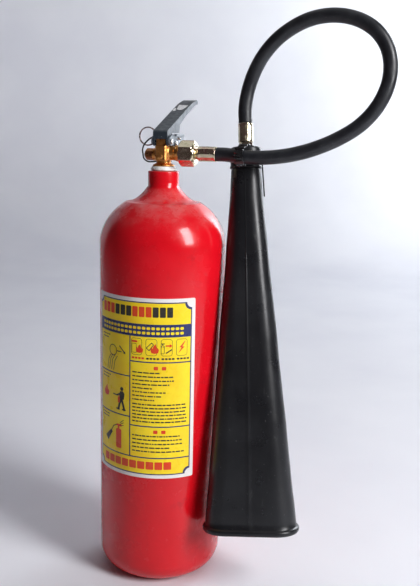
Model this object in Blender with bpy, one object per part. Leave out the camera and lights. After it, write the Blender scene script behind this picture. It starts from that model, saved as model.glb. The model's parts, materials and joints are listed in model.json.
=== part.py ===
"""Carbon dioxide fire extinguisher, 5 kg: steel cylinder, squeeze-grip valve, hose and discharge horn.

Design frame: Z up from the floor, the cylinder's axis at x = y = 0, the valve's outlet along +X, the
lever and the carrying handle along +Y, and the label facing -Y. The root empty moves that frame so
that the origin lies under the middle of the object's box.
"""

import math

import bmesh
import bpy
from mathutils import Matrix, Vector

MM = 0.001
GAP = 0.3  # clearance that touching pieces keep

# Driving dimensions, in millimetres.
ORIGIN_SHIFT = (-55.8, -10.7)  # where the cylinder's axis stands in the row frame

CYLINDER_RADIUS = 76.0
CYLINDER_WALL = 4.5
NECK_RADIUS = 18.5
NECK_BORE = 12.8
NECK_TOP = 499.5
NECK_BOTTOM = 478.5
SHOULDER_BOTTOM = 412.0
SHOULDER_RISE = 63.0
SHOULDER_CONE_RADIUS = 45.0
KNUCKLE_RADIUS = 27.0
FOOT_RING_INNER = 43.0
BASE_RISE = 14.0

LABEL_BOTTOM = 141.5
LABEL_TOP = 359.0
LABEL_FROM = -142.5  # degrees round the axis, from +X
LABEL_TO = -39.0
LABEL_THICKNESS = 0.3

OUTLET_HEIGHT = 520.5
BURST_HEIGHT = 518.5
BODY_HALF_WIDTH = 7.2
BODY_FRONT = -12.0
BODY_BACK = 13.0
BODY_BOTTOM = 512.0
BODY_TOP = 529.0
VALVE_NECK_HALF = 5.4
VALVE_NECK_TOP = 537.0
BODY_CHAMFER = 1.8
INLET_THREAD_RADIUS = 12.0
SPIGOT_RADIUS = 8.3
SPIGOT_THREAD_RADIUS = 9.6
OUTLET_BORE = 4.2
BOSS_RADIUS = 7.4
FLANGE_RADIUS = 13.0
FLANGE_BOTTOM = 505.2
WAIST_RADIUS = 8.6
CHAMBER_RADIUS = 4.0
CAGE_BORE = 7.6

STEM_RADIUS = 2.2
STEM_TOP = 549.0
STEM_CLEARANCE = 0.35
SEAT_HEIGHT = 503.0
SPRING_BOTTOM = 483.0
SPRING_TOP = 497.0
SPRING_RADIUS = 4.4
SPRING_WIRE = 0.7
SPRING_TURNS = 4
DIP_TUBE_RADIUS = 4.5
DIP_TUBE_BORE = 3.4
DIP_TUBE_BOTTOM = 27.0
DIP_TUBE_TOP = 480.2

PIVOT = (-7.0, 534.0)
PIVOT_RADIUS = 2.0
HANDLE_PIN = (8.5, 531.5)
SAFETY_PIN = (18.0, 537.3)
SAFETY_PIN_RADIUS = 1.4
EYE_X = -17.2
RING_RADIUS = 10.7
RING_WIRE = 1.0
RING_RISE = 2.2

LEVER_HALF_WIDTH = 9.0
LEVER_SHEET = 1.6
LEVER_TIP = 92.5
HANDLE_HALF_WIDTH = 11.6
HANDLE_SHEET = 2.0

NUT_START = 21.5
NUT_END = 39.5
NUT_FLATS = 27.0
TAIL_COLLAR_END = 44.0
FERRULE_RADIUS = 8.8
FERRULE_LENGTH = 22.0
HOSE_RADIUS = 8.1

HORN_TOP = (94.1, 23.3, 529.0)
HORN_MOUTH = (131.4, -39.5, 79.0)
HORN_TURN = 11.0  # degrees from the outlet's direction to the mouth's long side
HORN_WALL = 2.5
COLLAR_HALF = (18.2, 15.4)
COLLAR_HEIGHT = 25.0
CLIP_SHEET = 1.5
CLIP_HOSE = (-25.0, -13.8)  # the hose's centre beside the collar, in the horn's own frame
CLIP_MIDDLE = -3.8
CLIP_TURN = -15.0  # degrees, so that the hook lies along the hose

# The hose's route from the valve ferrule round to the horn ferrule, in the design frame.
HOSE_ROUTE = (
    (66.2, 0.0, 520.5),
    (76.0, 0.0, 520.5),
    (86.0, -2.0, 519.6),
    (98.0, -4.2, 518.6),
    (116.0, -4.2, 518.2),
    (138.0, -2.8, 519.8),
    (160.0, -1.4, 523.8),
    (183.0, 0.2, 531.0),
    (206.0, 2.2, 541.5),
    (228.0, 4.6, 556.0),
    (245.0, 7.2, 575.5),
    (255.0, 9.8, 598.0),
    (257.0, 12.2, 619.5),
    (252.0, 14.5, 639.5),
    (240.5, 16.5, 656.0),
    (224.0, 18.5, 667.5),
    (204.0, 20.8, 674.0),
    (183.0, 23.0, 675.3),
    (162.0, 25.5, 671.6),
    (142.0, 28.0, 662.8),
    (124.0, 30.2, 650.0),
    (109.5, 31.8, 633.5),
    (98.8, 32.6, 614.0),
    (92.4, 32.2, 593.5),
    (90.3, 29.7, 574.3),
    (91.74, 27.28, 557.42),
)
# The thin tether's route from the handle's left cheek, round the burst plug to the valve's waist.
TETHER_RADIUS = 0.9
TETHER_ROUTE = (
    (-12.0, -4.0, 538.5),
    (-15.2, -4.2, 537.4),
    (-19.4, -4.3, 534.2),
    (-23.4, -4.1, 529.8),
    (-25.9, -3.2, 524.4),
    (-26.2, -1.2, 518.6),
    (-25.8, 1.6, 513.0),
    (-22.0, 5.2, 509.6),
    (-16.6, 7.8, 509.6),
    (-12.0, 9.0, 510.1),
    (-8.0, 10.0, 510.2),
    (-3.6, 10.4, 510.2),
    (0.4, 10.1, 510.2),
    (3.9, 9.1, 510.2),
    (6.5, 7.5, 510.2),
)


def clear_scene():
    for obj in list(bpy.data.objects):
        bpy.data.objects.remove(obj, do_unlink=True)


def material(name, colour, roughness, metallic=0.0):
    """A Principled BSDF material, made once for each name."""
    made = bpy.data.materials.get(name)
    if made:
        return made
    made = bpy.data.materials.new(name)
    made.use_nodes = True
    shader = made.node_tree.nodes["Principled BSDF"]
    shader.inputs["Base Color"].default_value = (*colour, 1.0)
    shader.inputs["Roughness"].default_value = roughness
    shader.inputs["Metallic"].default_value = metallic
    made.diffuse_color = (*colour, 1.0)
    return made


def red_paint():
    return material("red_paint", (0.60, 0.012, 0.022), 0.18)


def label_film():
    return material("label_film", (0.86, 0.66, 0.05), 0.35)


def white_tape():
    return material("white_tape", (0.85, 0.84, 0.80), 0.6)


def brass():
    return material("brass", (0.72, 0.40, 0.13), 0.32, 1.0)


def plated_steel():
    return material("plated_steel", (0.72, 0.68, 0.55), 0.22, 1.0)


def spring_steel():
    return material("spring_steel", (0.55, 0.56, 0.58), 0.3, 1.0)


def dark_steel():
    return material("dark_steel", (0.07, 0.085, 0.10), 0.45, 0.3)


def grey_steel():
    return material("grey_steel", (0.20, 0.23, 0.26), 0.45, 0.4)


def black_rubber():
    return material("black_rubber", (0.012, 0.013, 0.015), 0.5)


def black_plastic():
    return material("black_plastic", (0.014, 0.015, 0.017), 0.38)


def white_nylon():
    return material("white_nylon", (0.80, 0.80, 0.76), 0.5)


def aluminium():
    return material("aluminium", (0.66, 0.67, 0.69), 0.35, 1.0)


def empty(name, parent, at):
    """An empty at a point of the design frame; `at` is kept so that children can be placed from it."""
    made = bpy.data.objects.new(name, None)
    made.empty_display_size = 0.02
    bpy.context.scene.collection.objects.link(made)
    made["design"] = tuple(at)
    attach(made, parent, at)
    return made


def attach(obj, parent, at):
    """Places obj at a design-frame point under a parent whose own design point is known."""
    obj.parent = parent
    base = Vector(parent["design"]) if parent else Vector((0, 0, 0))
    obj.location = (Vector(at) - base) * MM


def add(name, bm, finish, parent, at=(0, 0, 0), rotation=None):
    """Makes an object from a bmesh in millimetres and attaches it."""
    bmesh.ops.scale(bm, vec=(MM, MM, MM), verts=bm.verts)
    bmesh.ops.recalc_face_normals(bm, faces=bm.faces)
    mesh = bpy.data.meshes.new(name)
    bm.to_mesh(mesh)
    bm.free()
    mesh.shade_smooth()
    mesh.set_sharp_from_angle(angle=math.radians(32))
    mesh.materials.append(finish)
    obj = bpy.data.objects.new(name, mesh)
    bpy.context.scene.collection.objects.link(obj)
    attach(obj, parent, at)
    if rotation:
        obj.rotation_euler = rotation
    return obj


def tool(obj):
    """Marks an object as a cutter or a helper."""
    obj.hide_render = True
    obj.display_type = "WIRE"
    return obj


def boolean(obj, other, operation):
    step = obj.modifiers.new(operation.lower() + "_" + other.name, "BOOLEAN")
    step.operation = operation
    step.solver = "EXACT"
    step.object = tool(other)


def cut(obj, *others):
    for other in others:
        boolean(obj, other, "DIFFERENCE")


def join(obj, *others):
    for other in others:
        boolean(obj, other, "UNION")


def lathe(profile, steps=24):
    """Turns a closed (radius, height) profile round Z. Points at radius 0 become poles."""
    bm = bmesh.new()
    rings = []
    for radius, height in profile:
        if radius == 0:
            rings.append([bm.verts.new((0, 0, height))])
            continue
        ring = []
        for i in range(steps):
            turn = 2 * math.pi * i / steps
            ring.append(bm.verts.new((radius * math.cos(turn), radius * math.sin(turn), height)))
        rings.append(ring)
    for first, second in zip(rings, rings[1:] + rings[:1]):
        if len(first) == 1 and len(second) == 1:
            continue
        for i in range(steps):
            j = (i + 1) % steps
            corners = [first[i % len(first)], first[j % len(first)]]
            corners += [second[j % len(second)], second[i % len(second)]]
            bm.faces.new(list(dict.fromkeys(corners)))
    return bm


def loft(rings):
    """Closes a list of equal point rings with caps at both ends."""
    bm = bmesh.new()
    made = [[bm.verts.new(point) for point in ring] for ring in rings]
    count = len(rings[0])
    for first, second in zip(made, made[1:]):
        for i in range(count):
            j = (i + 1) % count
            bm.faces.new((first[i], first[j], second[j], second[i]))
    bm.faces.new(made[0])
    bm.faces.new(list(reversed(made[-1])))
    return bm


def tube_loft(rings):
    """Joins rings in a closed cycle, so that the walls have an inside and an outside."""
    bm = bmesh.new()
    made = [[bm.verts.new(point) for point in ring] for ring in rings]
    count = len(rings[0])
    for first, second in zip(made, made[1:] + made[:1]):
        for i in range(count):
            j = (i + 1) % count
            bm.faces.new((first[i], first[j], second[j], second[i]))
    return bm


def plate(outline, low, high):
    """A (y, z) outline extruded along X from low to high."""
    return loft([[(x, y, z) for y, z in outline] for x in (low, high)])


def block(low, high):
    outline = ((low[1], low[2]), (high[1], low[2]), (high[1], high[2]), (low[1], high[2]))
    return plate(outline, low[0], high[0])


def rod(radius, low, high, steps=16):
    return lathe(((0, low), (radius, low), (radius, high), (0, high)), steps)


def hexagon(flats, low, high, chamfer=0.0):
    """A hexagonal prism along Z whose top corners are turned off by the chamfer."""
    corner = flats / math.sqrt(3)
    rings = [[(corner * math.cos(a), corner * math.sin(a), low) for a in sixths()]]
    rings.append([(x, y, high - chamfer) for x, y, _ in rings[0]])
    if chamfer:
        inner = 0.86
        rings.append([(x * inner, y * inner, high) for x, y, _ in rings[0]])
    return loft(rings)


def sixths():
    return [math.radians(60 * i) for i in range(6)]


def arc(centre, radius, start, end, count):
    """Points of a circular arc, angles in degrees."""
    points = []
    for i in range(count + 1):
        turn = math.radians(start + (end - start) * i / count)
        points.append((centre[0] + radius * math.cos(turn), centre[1] + radius * math.sin(turn)))
    return points


ALONG_X = (0, math.radians(90), 0)  # turns +Z to +X
ALONG_MINUS_X = (0, math.radians(-90), 0)


def smooth_route(points, spacing):
    """Evenly spaced points on the centripetal Catmull-Rom curve through the route."""
    route = [Vector(p) for p in points]
    route = [2 * route[0] - route[1]] + route + [2 * route[-1] - route[-2]]
    fine = []
    for a, b, c, d in zip(route, route[1:], route[2:], route[3:]):
        knots = [0.0]
        for first, second in ((a, b), (b, c), (c, d)):
            knots.append(knots[-1] + math.sqrt((second - first).length))
        for i in range(24):
            t = knots[1] + (knots[2] - knots[1]) * i / 24
            fine.append(catmull_rom(a, b, c, d, knots, t))
    fine.append(route[-2])
    lengths = [0.0]
    for first, second in zip(fine, fine[1:]):
        lengths.append(lengths[-1] + (second - first).length)
    count = max(2, round(lengths[-1] / spacing))
    even = []
    place = 0
    for i in range(count + 1):
        wanted = lengths[-1] * i / count
        while place < len(fine) - 2 and lengths[place + 1] < wanted:
            place += 1
        share = (wanted - lengths[place]) / (lengths[place + 1] - lengths[place])
        even.append(fine[place].lerp(fine[place + 1], min(1.0, share)))
    return even


def catmull_rom(a, b, c, d, knots, t):
    """One point between b and c of the centripetal curve through four points."""
    ab = between(a, b, knots[0], knots[1], t)
    bc = between(b, c, knots[1], knots[2], t)
    cd = between(c, d, knots[2], knots[3], t)
    abc = between(ab, bc, knots[0], knots[2], t)
    bcd = between(bc, cd, knots[1], knots[3], t)
    return between(abc, bcd, knots[1], knots[2], t)


def between(first, second, low, high, t):
    return first + (second - first) * ((t - low) / (high - low))


def square_ends(points, route, stub):
    """Adds a short straight stub at each end, so that the end faces lie square to the route."""
    first = (Vector(route[1]) - Vector(route[0])).normalized() * stub
    last = (Vector(route[-2]) - Vector(route[-1])).normalized() * stub
    return [points[0], points[0] + first] + points[1:-1] + [points[-1] + last, points[-1]]


def round_bar(name, points, radius, resolution, finish, parent):
    """A capped round bar along points of the design frame."""
    curve = bpy.data.curves.new(name, "CURVE")
    curve.dimensions = "3D"
    curve.bevel_depth = radius * MM
    curve.bevel_resolution = resolution
    curve.use_fill_caps = True
    spline = curve.splines.new("POLY")
    base = Vector(parent["design"])
    spline.points.add(len(points) - 1)
    for slot, point in zip(spline.points, points):
        slot.co = (*((point - base) * MM), 1.0)
    curve.materials.append(finish)
    obj = bpy.data.objects.new(name, curve)
    bpy.context.scene.collection.objects.link(obj)
    attach(obj, parent, parent["design"])
    return obj


def cord(name, route, radius, spacing, resolution, finish, parent):
    """A flexible round cord along the smooth curve through a route."""
    points = square_ends(smooth_route(route, spacing), route, radius / 4)
    return round_bar(name, points, radius, resolution, finish, parent)


def shoulder(offset=0.0):
    """Outer shoulder points from the neck down to the wall, moved inwards by the offset."""
    radius = CYLINDER_RADIUS - offset
    rise = SHOULDER_RISE - offset
    points = []
    start = math.degrees(math.acos(min(1.0, SHOULDER_CONE_RADIUS / radius)))
    for i in range(9):
        turn = math.radians(start * (1 - i / 8))
        points.append((radius * math.cos(turn), SHOULDER_BOTTOM + rise * math.sin(turn)))
    return points


def make_cylinder(root):
    wall = CYLINDER_WALL
    knuckle = CYLINDER_RADIUS - KNUCKLE_RADIUS
    outer = [(NECK_BORE, NECK_TOP), (NECK_RADIUS - 1.2, NECK_TOP), (NECK_RADIUS, NECK_TOP - 1.2)]
    outer += [(NECK_RADIUS, NECK_BOTTOM)] + shoulder()
    outer += arc((knuckle, KNUCKLE_RADIUS), KNUCKLE_RADIUS, 0, -90, 7)
    outer += [(FOOT_RING_INNER, 0.0)]
    outer += [(FOOT_RING_INNER * s, BASE_RISE * (1 - s * s)) for s in (0.8, 0.55, 0.28)]
    outer += [(0, BASE_RISE)]
    inner = [(0, BASE_RISE + wall)]
    inner += [(FOOT_RING_INNER * s, BASE_RISE * (1 - s * s) + wall) for s in (0.35, 0.7)]
    inner += arc((knuckle, KNUCKLE_RADIUS), KNUCKLE_RADIUS - wall, -90, 0, 4)
    inner += list(reversed(shoulder(wall)))[::2]
    inner += [(NECK_BORE + 3, NECK_BOTTOM - wall), (NECK_BORE, NECK_BOTTOM - wall + 3)]
    add("cylinder", lathe(outer + inner, 48), red_paint(), root)


def make_label(root):
    inner = CYLINDER_RADIUS + GAP
    steps = 24
    angles = [math.radians(LABEL_FROM + (LABEL_TO - LABEL_FROM) * i / steps) for i in range(steps + 1)]
    outline = [(inner * math.cos(a), inner * math.sin(a)) for a in angles]
    outer = inner + LABEL_THICKNESS
    outline += [(outer * math.cos(a), outer * math.sin(a)) for a in reversed(angles)]
    rings = [[(x, y, z) for x, y in outline] for z in (LABEL_BOTTOM, LABEL_TOP)]
    add("label", loft(rings), label_film(), root)


def make_thread_tape(root):
    low = NECK_TOP + GAP
    high = FLANGE_BOTTOM - GAP
    profile = ((12.4, low), (14.6, low), (15.2, low + 1.2), (13.6, high - 0.6), (12.9, high), (12.4, high))
    add("thread_tape", lathe(profile, 28), white_tape(), root)


def make_valve_body(root):
    """Forging: threaded inlet, flange, waist, square block, neck, outlet spigot and burst-disc boss."""
    thread = INLET_THREAD_RADIUS
    profile = [(0, 470), (thread - 0.4, 470), (thread, 471), (thread, FLANGE_BOTTOM)]
    profile += [(FLANGE_RADIUS, FLANGE_BOTTOM)]
    profile += [(FLANGE_RADIUS, 506.4), (WAIST_RADIUS, 508.8), (WAIST_RADIUS, 520.0), (0, 520.0)]
    body = add("valve_body", lathe(profile, 28), brass(), root)
    corner = BODY_CHAMFER
    half = BODY_HALF_WIDTH
    outline = [(-half + corner, BODY_FRONT), (half - corner, BODY_FRONT), (half, BODY_FRONT + corner)]
    outline += [(half, BODY_BACK - corner), (half - corner, BODY_BACK), (-half + corner, BODY_BACK)]
    outline += [(-half, BODY_BACK - corner), (-half, BODY_FRONT + corner)]
    rings = [[(x, y, z) for x, y in outline] for z in (BODY_BOTTOM, BODY_TOP)]
    join(body, add("body_block", loft(rings), brass(), root))
    neck = block((-VALVE_NECK_HALF, -11.0, BODY_TOP - 4), (VALVE_NECK_HALF, 12.2, VALVE_NECK_TOP))
    join(body, add("body_neck", neck, brass(), root))
    near, far = SPIGOT_RADIUS, SPIGOT_THREAD_RADIUS
    spigot = [(0, 0), (near, 0), (near, 13.6), (far, 16.8), (far, 30.5), (far - 0.6, 31.0), (0, 31.0)]
    join(body, add("body_spigot", lathe(spigot, 24), brass(), root, (0, 0, OUTLET_HEIGHT), ALONG_X))
    boss = rod(BOSS_RADIUS, 0, 12.6, 20)
    join(body, add("body_boss", boss, brass(), root, (0, 0, BURST_HEIGHT), ALONG_MINUS_X))

    bore = [(0, 460), (CAGE_BORE, 460), (CAGE_BORE, SEAT_HEIGHT - 1.6), (CHAMBER_RADIUS, SEAT_HEIGHT - 1.6)]
    sliding = STEM_RADIUS + STEM_CLEARANCE
    bore += [(CHAMBER_RADIUS, 525.5), (sliding, 526.5), (sliding, 529.7)]
    bore += [(4.3, 529.7), (4.3, 532.3), (sliding, 532.3), (sliding, 545), (0, 545)]
    cut(body, add("stem_bore", lathe(bore, 20), brass(), root))
    outlet = rod(OUTLET_BORE, 1.0, 40, 16)
    cut(body, add("outlet_bore", outlet, brass(), root, (0, 0, OUTLET_HEIGHT), ALONG_X))
    relief = [(0, 1.0), (1.8, 1.0), (1.8, 6.6), (5.1, 6.6), (5.1, 20), (0, 20)]
    cut(body, add("relief_bore", lathe(relief, 16), brass(), root, (0, 0, BURST_HEIGHT), ALONG_MINUS_X))
    for name, at in (("pivot_hole", PIVOT), ("handle_pin_hole", HANDLE_PIN)):
        hole = rod(PIVOT_RADIUS + 0.25, -20, 20, 16)
        cut(body, add(name, hole, brass(), root, (0, *at), ALONG_X))


def make_inner_valve(root, stem):
    """Stem with its poppet, seal ring, spring, cage, O-ring and the dip tube below them."""
    head = STEM_RADIUS + 0.9
    poppet = SPRING_TOP + GAP
    rod_profile = [(0, SPRING_TOP - 9), (1.8, SPRING_TOP - 9), (1.8, poppet), (6.4, poppet)]
    rod_profile += [(6.4, 499.4), (2.9, 499.4), (STEM_RADIUS, 500.5), (STEM_RADIUS, STEM_TOP - 3.2)]
    rod_profile += [(head, STEM_TOP - 3.2), (head, STEM_TOP - 1.6), (head * 0.7, STEM_TOP - 0.4)]
    rod_profile += [(0, STEM_TOP)]
    add("valve_stem", lathe(rod_profile, 16), spring_steel(), stem)
    seal = ((3.3, 499.7), (6.2, 499.7), (6.2, 501.1), (3.3, 501.1))
    add("seat_seal", lathe(seal, 20), white_nylon(), stem)
    ring = [(3.35 + 0.75 * math.cos(a), 531.0 + 0.95 * math.sin(a)) for a in sixths()]
    add("stem_o_ring", lathe(ring, 16), black_rubber(), root)
    cage = ((4.9, 471.0), (7.2, 471.0), (7.2, 482.6), (2.4, 482.6), (2.4, 480.6), (4.9, 480.6))
    add("spring_retainer", lathe(cage, 20), brass(), root)
    coil = []
    count = SPRING_TURNS * 10
    for i in range(count + 1):
        turn = 2 * math.pi * i / 10
        height = SPRING_BOTTOM + 1.0 + (SPRING_TOP - SPRING_BOTTOM - 2.2) * i / count
        coil.append(Vector((SPRING_RADIUS * math.cos(turn), SPRING_RADIUS * math.sin(turn), height)))
    round_bar("stem_spring", coil, SPRING_WIRE, 1, spring_steel(), root)
    low, high = DIP_TUBE_BOTTOM, DIP_TUBE_TOP
    tube = ((DIP_TUBE_BORE, low), (DIP_TUBE_RADIUS, low), (DIP_TUBE_RADIUS, high), (DIP_TUBE_BORE, high))
    pipe = add("dip_tube", lathe(tube, 16), aluminium(), root)
    slant = block((-20, -20, -20), (20, 20, 0))
    cut(pipe, add("dip_tube_slant", slant, aluminium(), root, (0, 0, low + 4), (0, math.radians(35), 0)))


def make_burst_set(root):
    at = (0, 0, BURST_HEIGHT)
    plug = add("burst_plug", hexagon(12.4, 12.9, 23.4, 1.4), brass(), root, at, ALONG_MINUS_X)
    join(plug, add("burst_plug_shank", rod(4.7, 8.6, 14.0), brass(), root, at, ALONG_MINUS_X))
    cut(plug, add("burst_plug_bore", rod(1.6, 5, 20.5, 12), brass(), root, at, ALONG_MINUS_X))
    vent = rod(1.1, -10, 10, 10)
    cut(plug, add("burst_plug_vent", vent, brass(), root, (-18.0, 0, BURST_HEIGHT)))
    washer = ((2.2, 7.5), (4.8, 7.5), (4.8, 8.3), (2.2, 8.3))
    add("burst_washer", lathe(washer, 16), white_nylon(), root, at, ALONG_MINUS_X)
    add("burst_disc", rod(4.8, 6.9, 7.2), aluminium(), root, at, ALONG_MINUS_X)


def lever_top(y):
    """Height of the lever's upper face: a straight ramp that flattens towards the tip."""
    ramp = 546.0 + 0.407 * (y - BODY_FRONT + 1.0)
    flatten = max(0.0, y - 62.0)
    return ramp - 0.0036 * flatten * flatten


def make_lever(lever):
    front = BODY_FRONT - 1.0
    tip = LEVER_TIP
    end = lever_top(tip)
    ys = (30, 50, 62, 70, 78, 85, tip)
    outline = [(front, 531.0), (front, 544.6), (front + 1.2, lever_top(front + 1.2))]
    outline += [(y, lever_top(y)) for y in ys]
    outline += [(tip + 2.2, end - 0.9), (tip + 3.6, end - 2.6), (tip + 3.4, end - 4.4)]
    outline += [(tip + 1.6, end - 5.4), (tip - 2, end - 5.2)]
    outline += [(50, lever_top(50) - 7.4), (30.5, lever_top(30) - 9.8)]
    outline += [(28.2, 544.0), (4.5, 544.0), (2.2, 541.0), (0.6, 531.0), (-2.5, 529.3), (-10.8, 528.6)]
    sheet = LEVER_SHEET
    inner = [(-30, 500), (-30, 536.7), (front + sheet, 536.7), (front + sheet, lever_top(front) - 1.0)]
    inner += [(y, lever_top(y) - sheet * 1.07) for y in (front + sheet + 1.2,) + ys[:-1]]
    inner += [(tip, end - sheet * 1.05), (tip, 500)]
    half = LEVER_HALF_WIDTH
    base = Vector(lever["design"])
    obj = add("press_lever", moved(plate(outline, -half, half), -base), dark_steel(), lever, lever["design"])
    channel = moved(plate(inner, -half + sheet, half - sheet), -base)
    cut(obj, add("lever_channel", channel, dark_steel(), lever, lever["design"]))
    hole = rod(PIVOT_RADIUS + 0.25, -20, 20, 16)
    cut(obj, add("lever_pivot_hole", hole, dark_steel(), lever, lever["design"], ALONG_X))
    sticker = [(-4.2, 52), (3.6, 50.5), (6.4, 64.5), (-6.2, 68.0), (-7.0, 60.0)]
    rings = []
    for lift in (GAP, GAP + 0.25):
        rings.append([(x, y, lever_top(y) + lift * 1.1) for x, y in sticker])
    add("lever_sticker", moved(loft(rings), -base), white_nylon(), lever, lever["design"])


def moved(bm, by):
    bmesh.ops.translate(bm, vec=by, verts=bm.verts)
    return bm


def make_carry_handle(root):
    outline = [(-8.8, 529.5), (-11.6, 532.0), (-11.6, 536.8), (-8.0, 540.2), (2.0, 542.0), (34.5, 542.0)]
    outline += [(37.5, 540.0), (39.0, 533.6), (52, 532.0), (64, 529.6), (78, 525.4), (90, 520.4), (98, 516.4)]
    outline += [(98, 511.8), (94, 511.2), (85, 514.4), (72, 518.6), (58, 521.8), (44, 523.6)]
    outline += [(28, 525.4), (18, 529.5)]
    half = HANDLE_HALF_WIDTH
    sheet = HANDLE_SHEET
    obj = add("carry_handle", plate(outline, -half, half), grey_steel(), root)
    inner = [(-30, 500), (-30, 560), (33, 560), (33, 540.0), (34.4, 540.0), (35.8, 538.8), (37.2, 531.8)]
    inner += [(52, 530.1), (64, 527.6), (78, 523.4), (90, 518.4), (96, 515.4), (96, 500)]
    channel = plate(inner, -half + sheet, half - sheet)
    cut(obj, add("handle_channel", channel, grey_steel(), root))
    for side in (-1, 1):
        edge = sorted((side * (half - 0.9), side * (half + 2.2)))
        lip = block((edge[0], 6.0, 540.0), (edge[1], 34.0, 542.7))
        join(obj, add("handle_lip_" + ("left" if side < 0 else "right"), lip, grey_steel(), root))
    for name, (y, z), radius in (
        ("handle_pivot_hole", PIVOT, PIVOT_RADIUS),
        ("handle_fixing_hole", HANDLE_PIN, PIVOT_RADIUS),
        ("handle_safety_hole", SAFETY_PIN, SAFETY_PIN_RADIUS),
    ):
        hole = rod(radius + 0.3, -20, 20, 16)
        cut(obj, add(name, hole, grey_steel(), root, (0, y, z), ALONG_X))


def make_pins(root, pin, ring):
    for name, (y, z) in (("pivot_pin", PIVOT), ("handle_pin", HANDLE_PIN)):
        end = HANDLE_HALF_WIDTH + 1.6
        profile = ((0, -end), (1.6, -end), (PIVOT_RADIUS, -end + 0.6), (PIVOT_RADIUS, end - 1.2))
        profile += ((3.1, end - 1.2), (3.1, end - 0.2), (2.4, end + 0.4), (0, end + 0.4))
        add(name, lathe(profile, 16), spring_steel(), root, (0, y, z), ALONG_X)
    y, z = SAFETY_PIN
    radius = SAFETY_PIN_RADIUS
    profile = ((0, EYE_X + 2.4), (radius, EYE_X + 2.4), (radius, 13.6), (radius * 0.5, 14.6), (0, 14.6))
    shaft = add("safety_pin", lathe(profile, 14), spring_steel(), pin, (0, y, z), ALONG_X)
    eye = ((1.6, -1.2), (3.2, -1.2), (3.2, 1.2), (1.6, 1.2))
    join(shaft, add("safety_pin_eye", lathe(eye, 20), spring_steel(), pin, (EYE_X, y, z)))
    section = [(RING_RADIUS + RING_WIRE * math.cos(a), RING_WIRE * math.sin(a)) for a in eighths()]
    centre = (EYE_X - math.sqrt(RING_RADIUS**2 - RING_RISE**2), y, z + RING_RISE)
    add("pull_ring", lathe(section, 32), spring_steel(), ring, centre, (math.radians(90), 0, 0))


def eighths():
    return [math.radians(45 * i) for i in range(8)]


def make_union(root, hose_set):
    """Union nut on the valve's outlet and the hose's tail inside it."""
    at = (0, 0, OUTLET_HEIGHT)
    nut = add("swivel_nut", hexagon(NUT_FLATS, NUT_START, NUT_END, 2.4), plated_steel(), root, at, ALONG_X)
    bore = ((0, 10), (10.0, 10), (10.0, 36.8), (7.5, 36.8), (7.5, 50), (0, 50))
    cut(nut, add("nut_bore", lathe(bore, 24), plated_steel(), root, at, ALONG_X))
    washer = ((4.4, 31.3), (8.8, 31.3), (8.8, 32.7), (4.4, 32.7))
    add("outlet_washer", lathe(washer, 20), white_nylon(), root, at, ALONG_X)
    tail = [(2.4, 33.0), (9.2, 33.0), (9.2, 36.4), (7.1, 36.4), (7.1, TAIL_COLLAR_END)]
    tail += [(3.9, TAIL_COLLAR_END), (3.9, 62.0), (2.4, 62.0)]
    add("hose_tail", lathe(tail, 20), plated_steel(), hose_set, at, ALONG_X)
    low = TAIL_COLLAR_END + GAP
    add("valve_ferrule", ferrule(low, low + FERRULE_LENGTH - 0.6), plated_steel(), hose_set, at, ALONG_X)


def ferrule(low, high):
    """A crimped sleeve with rounded ends."""
    outer = FERRULE_RADIUS
    profile = ((4.2, low), (outer - 1.0, low), (outer, low + 0.9), (outer, high - 0.9), (outer - 0.7, high))
    return lathe(profile + ((4.2, high),), 24)


def stadium(half_width, half_depth, height, steps=8):
    """A flat-sided oval with round ends, as a ring of points round the horn's axis."""
    straight = half_width - half_depth
    points = []
    for centre, start in ((straight, -90), (-straight, 90)):
        for x, y in arc((centre, 0), half_depth, start, start + 180, steps):
            points.append((x, y, height))
    return points


def horn_rotation():
    """Local Z runs up the horn's axis, local X along the long side of its mouth."""
    up = (Vector(HORN_TOP) - Vector(HORN_MOUTH)).normalized()
    turn = math.radians(HORN_TURN)
    side = Vector((math.cos(turn), math.sin(turn), 0))
    side = (side - up * side.dot(up)).normalized()
    back = up.cross(side)
    return Matrix((side, back, up)).transposed().to_euler()


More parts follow.
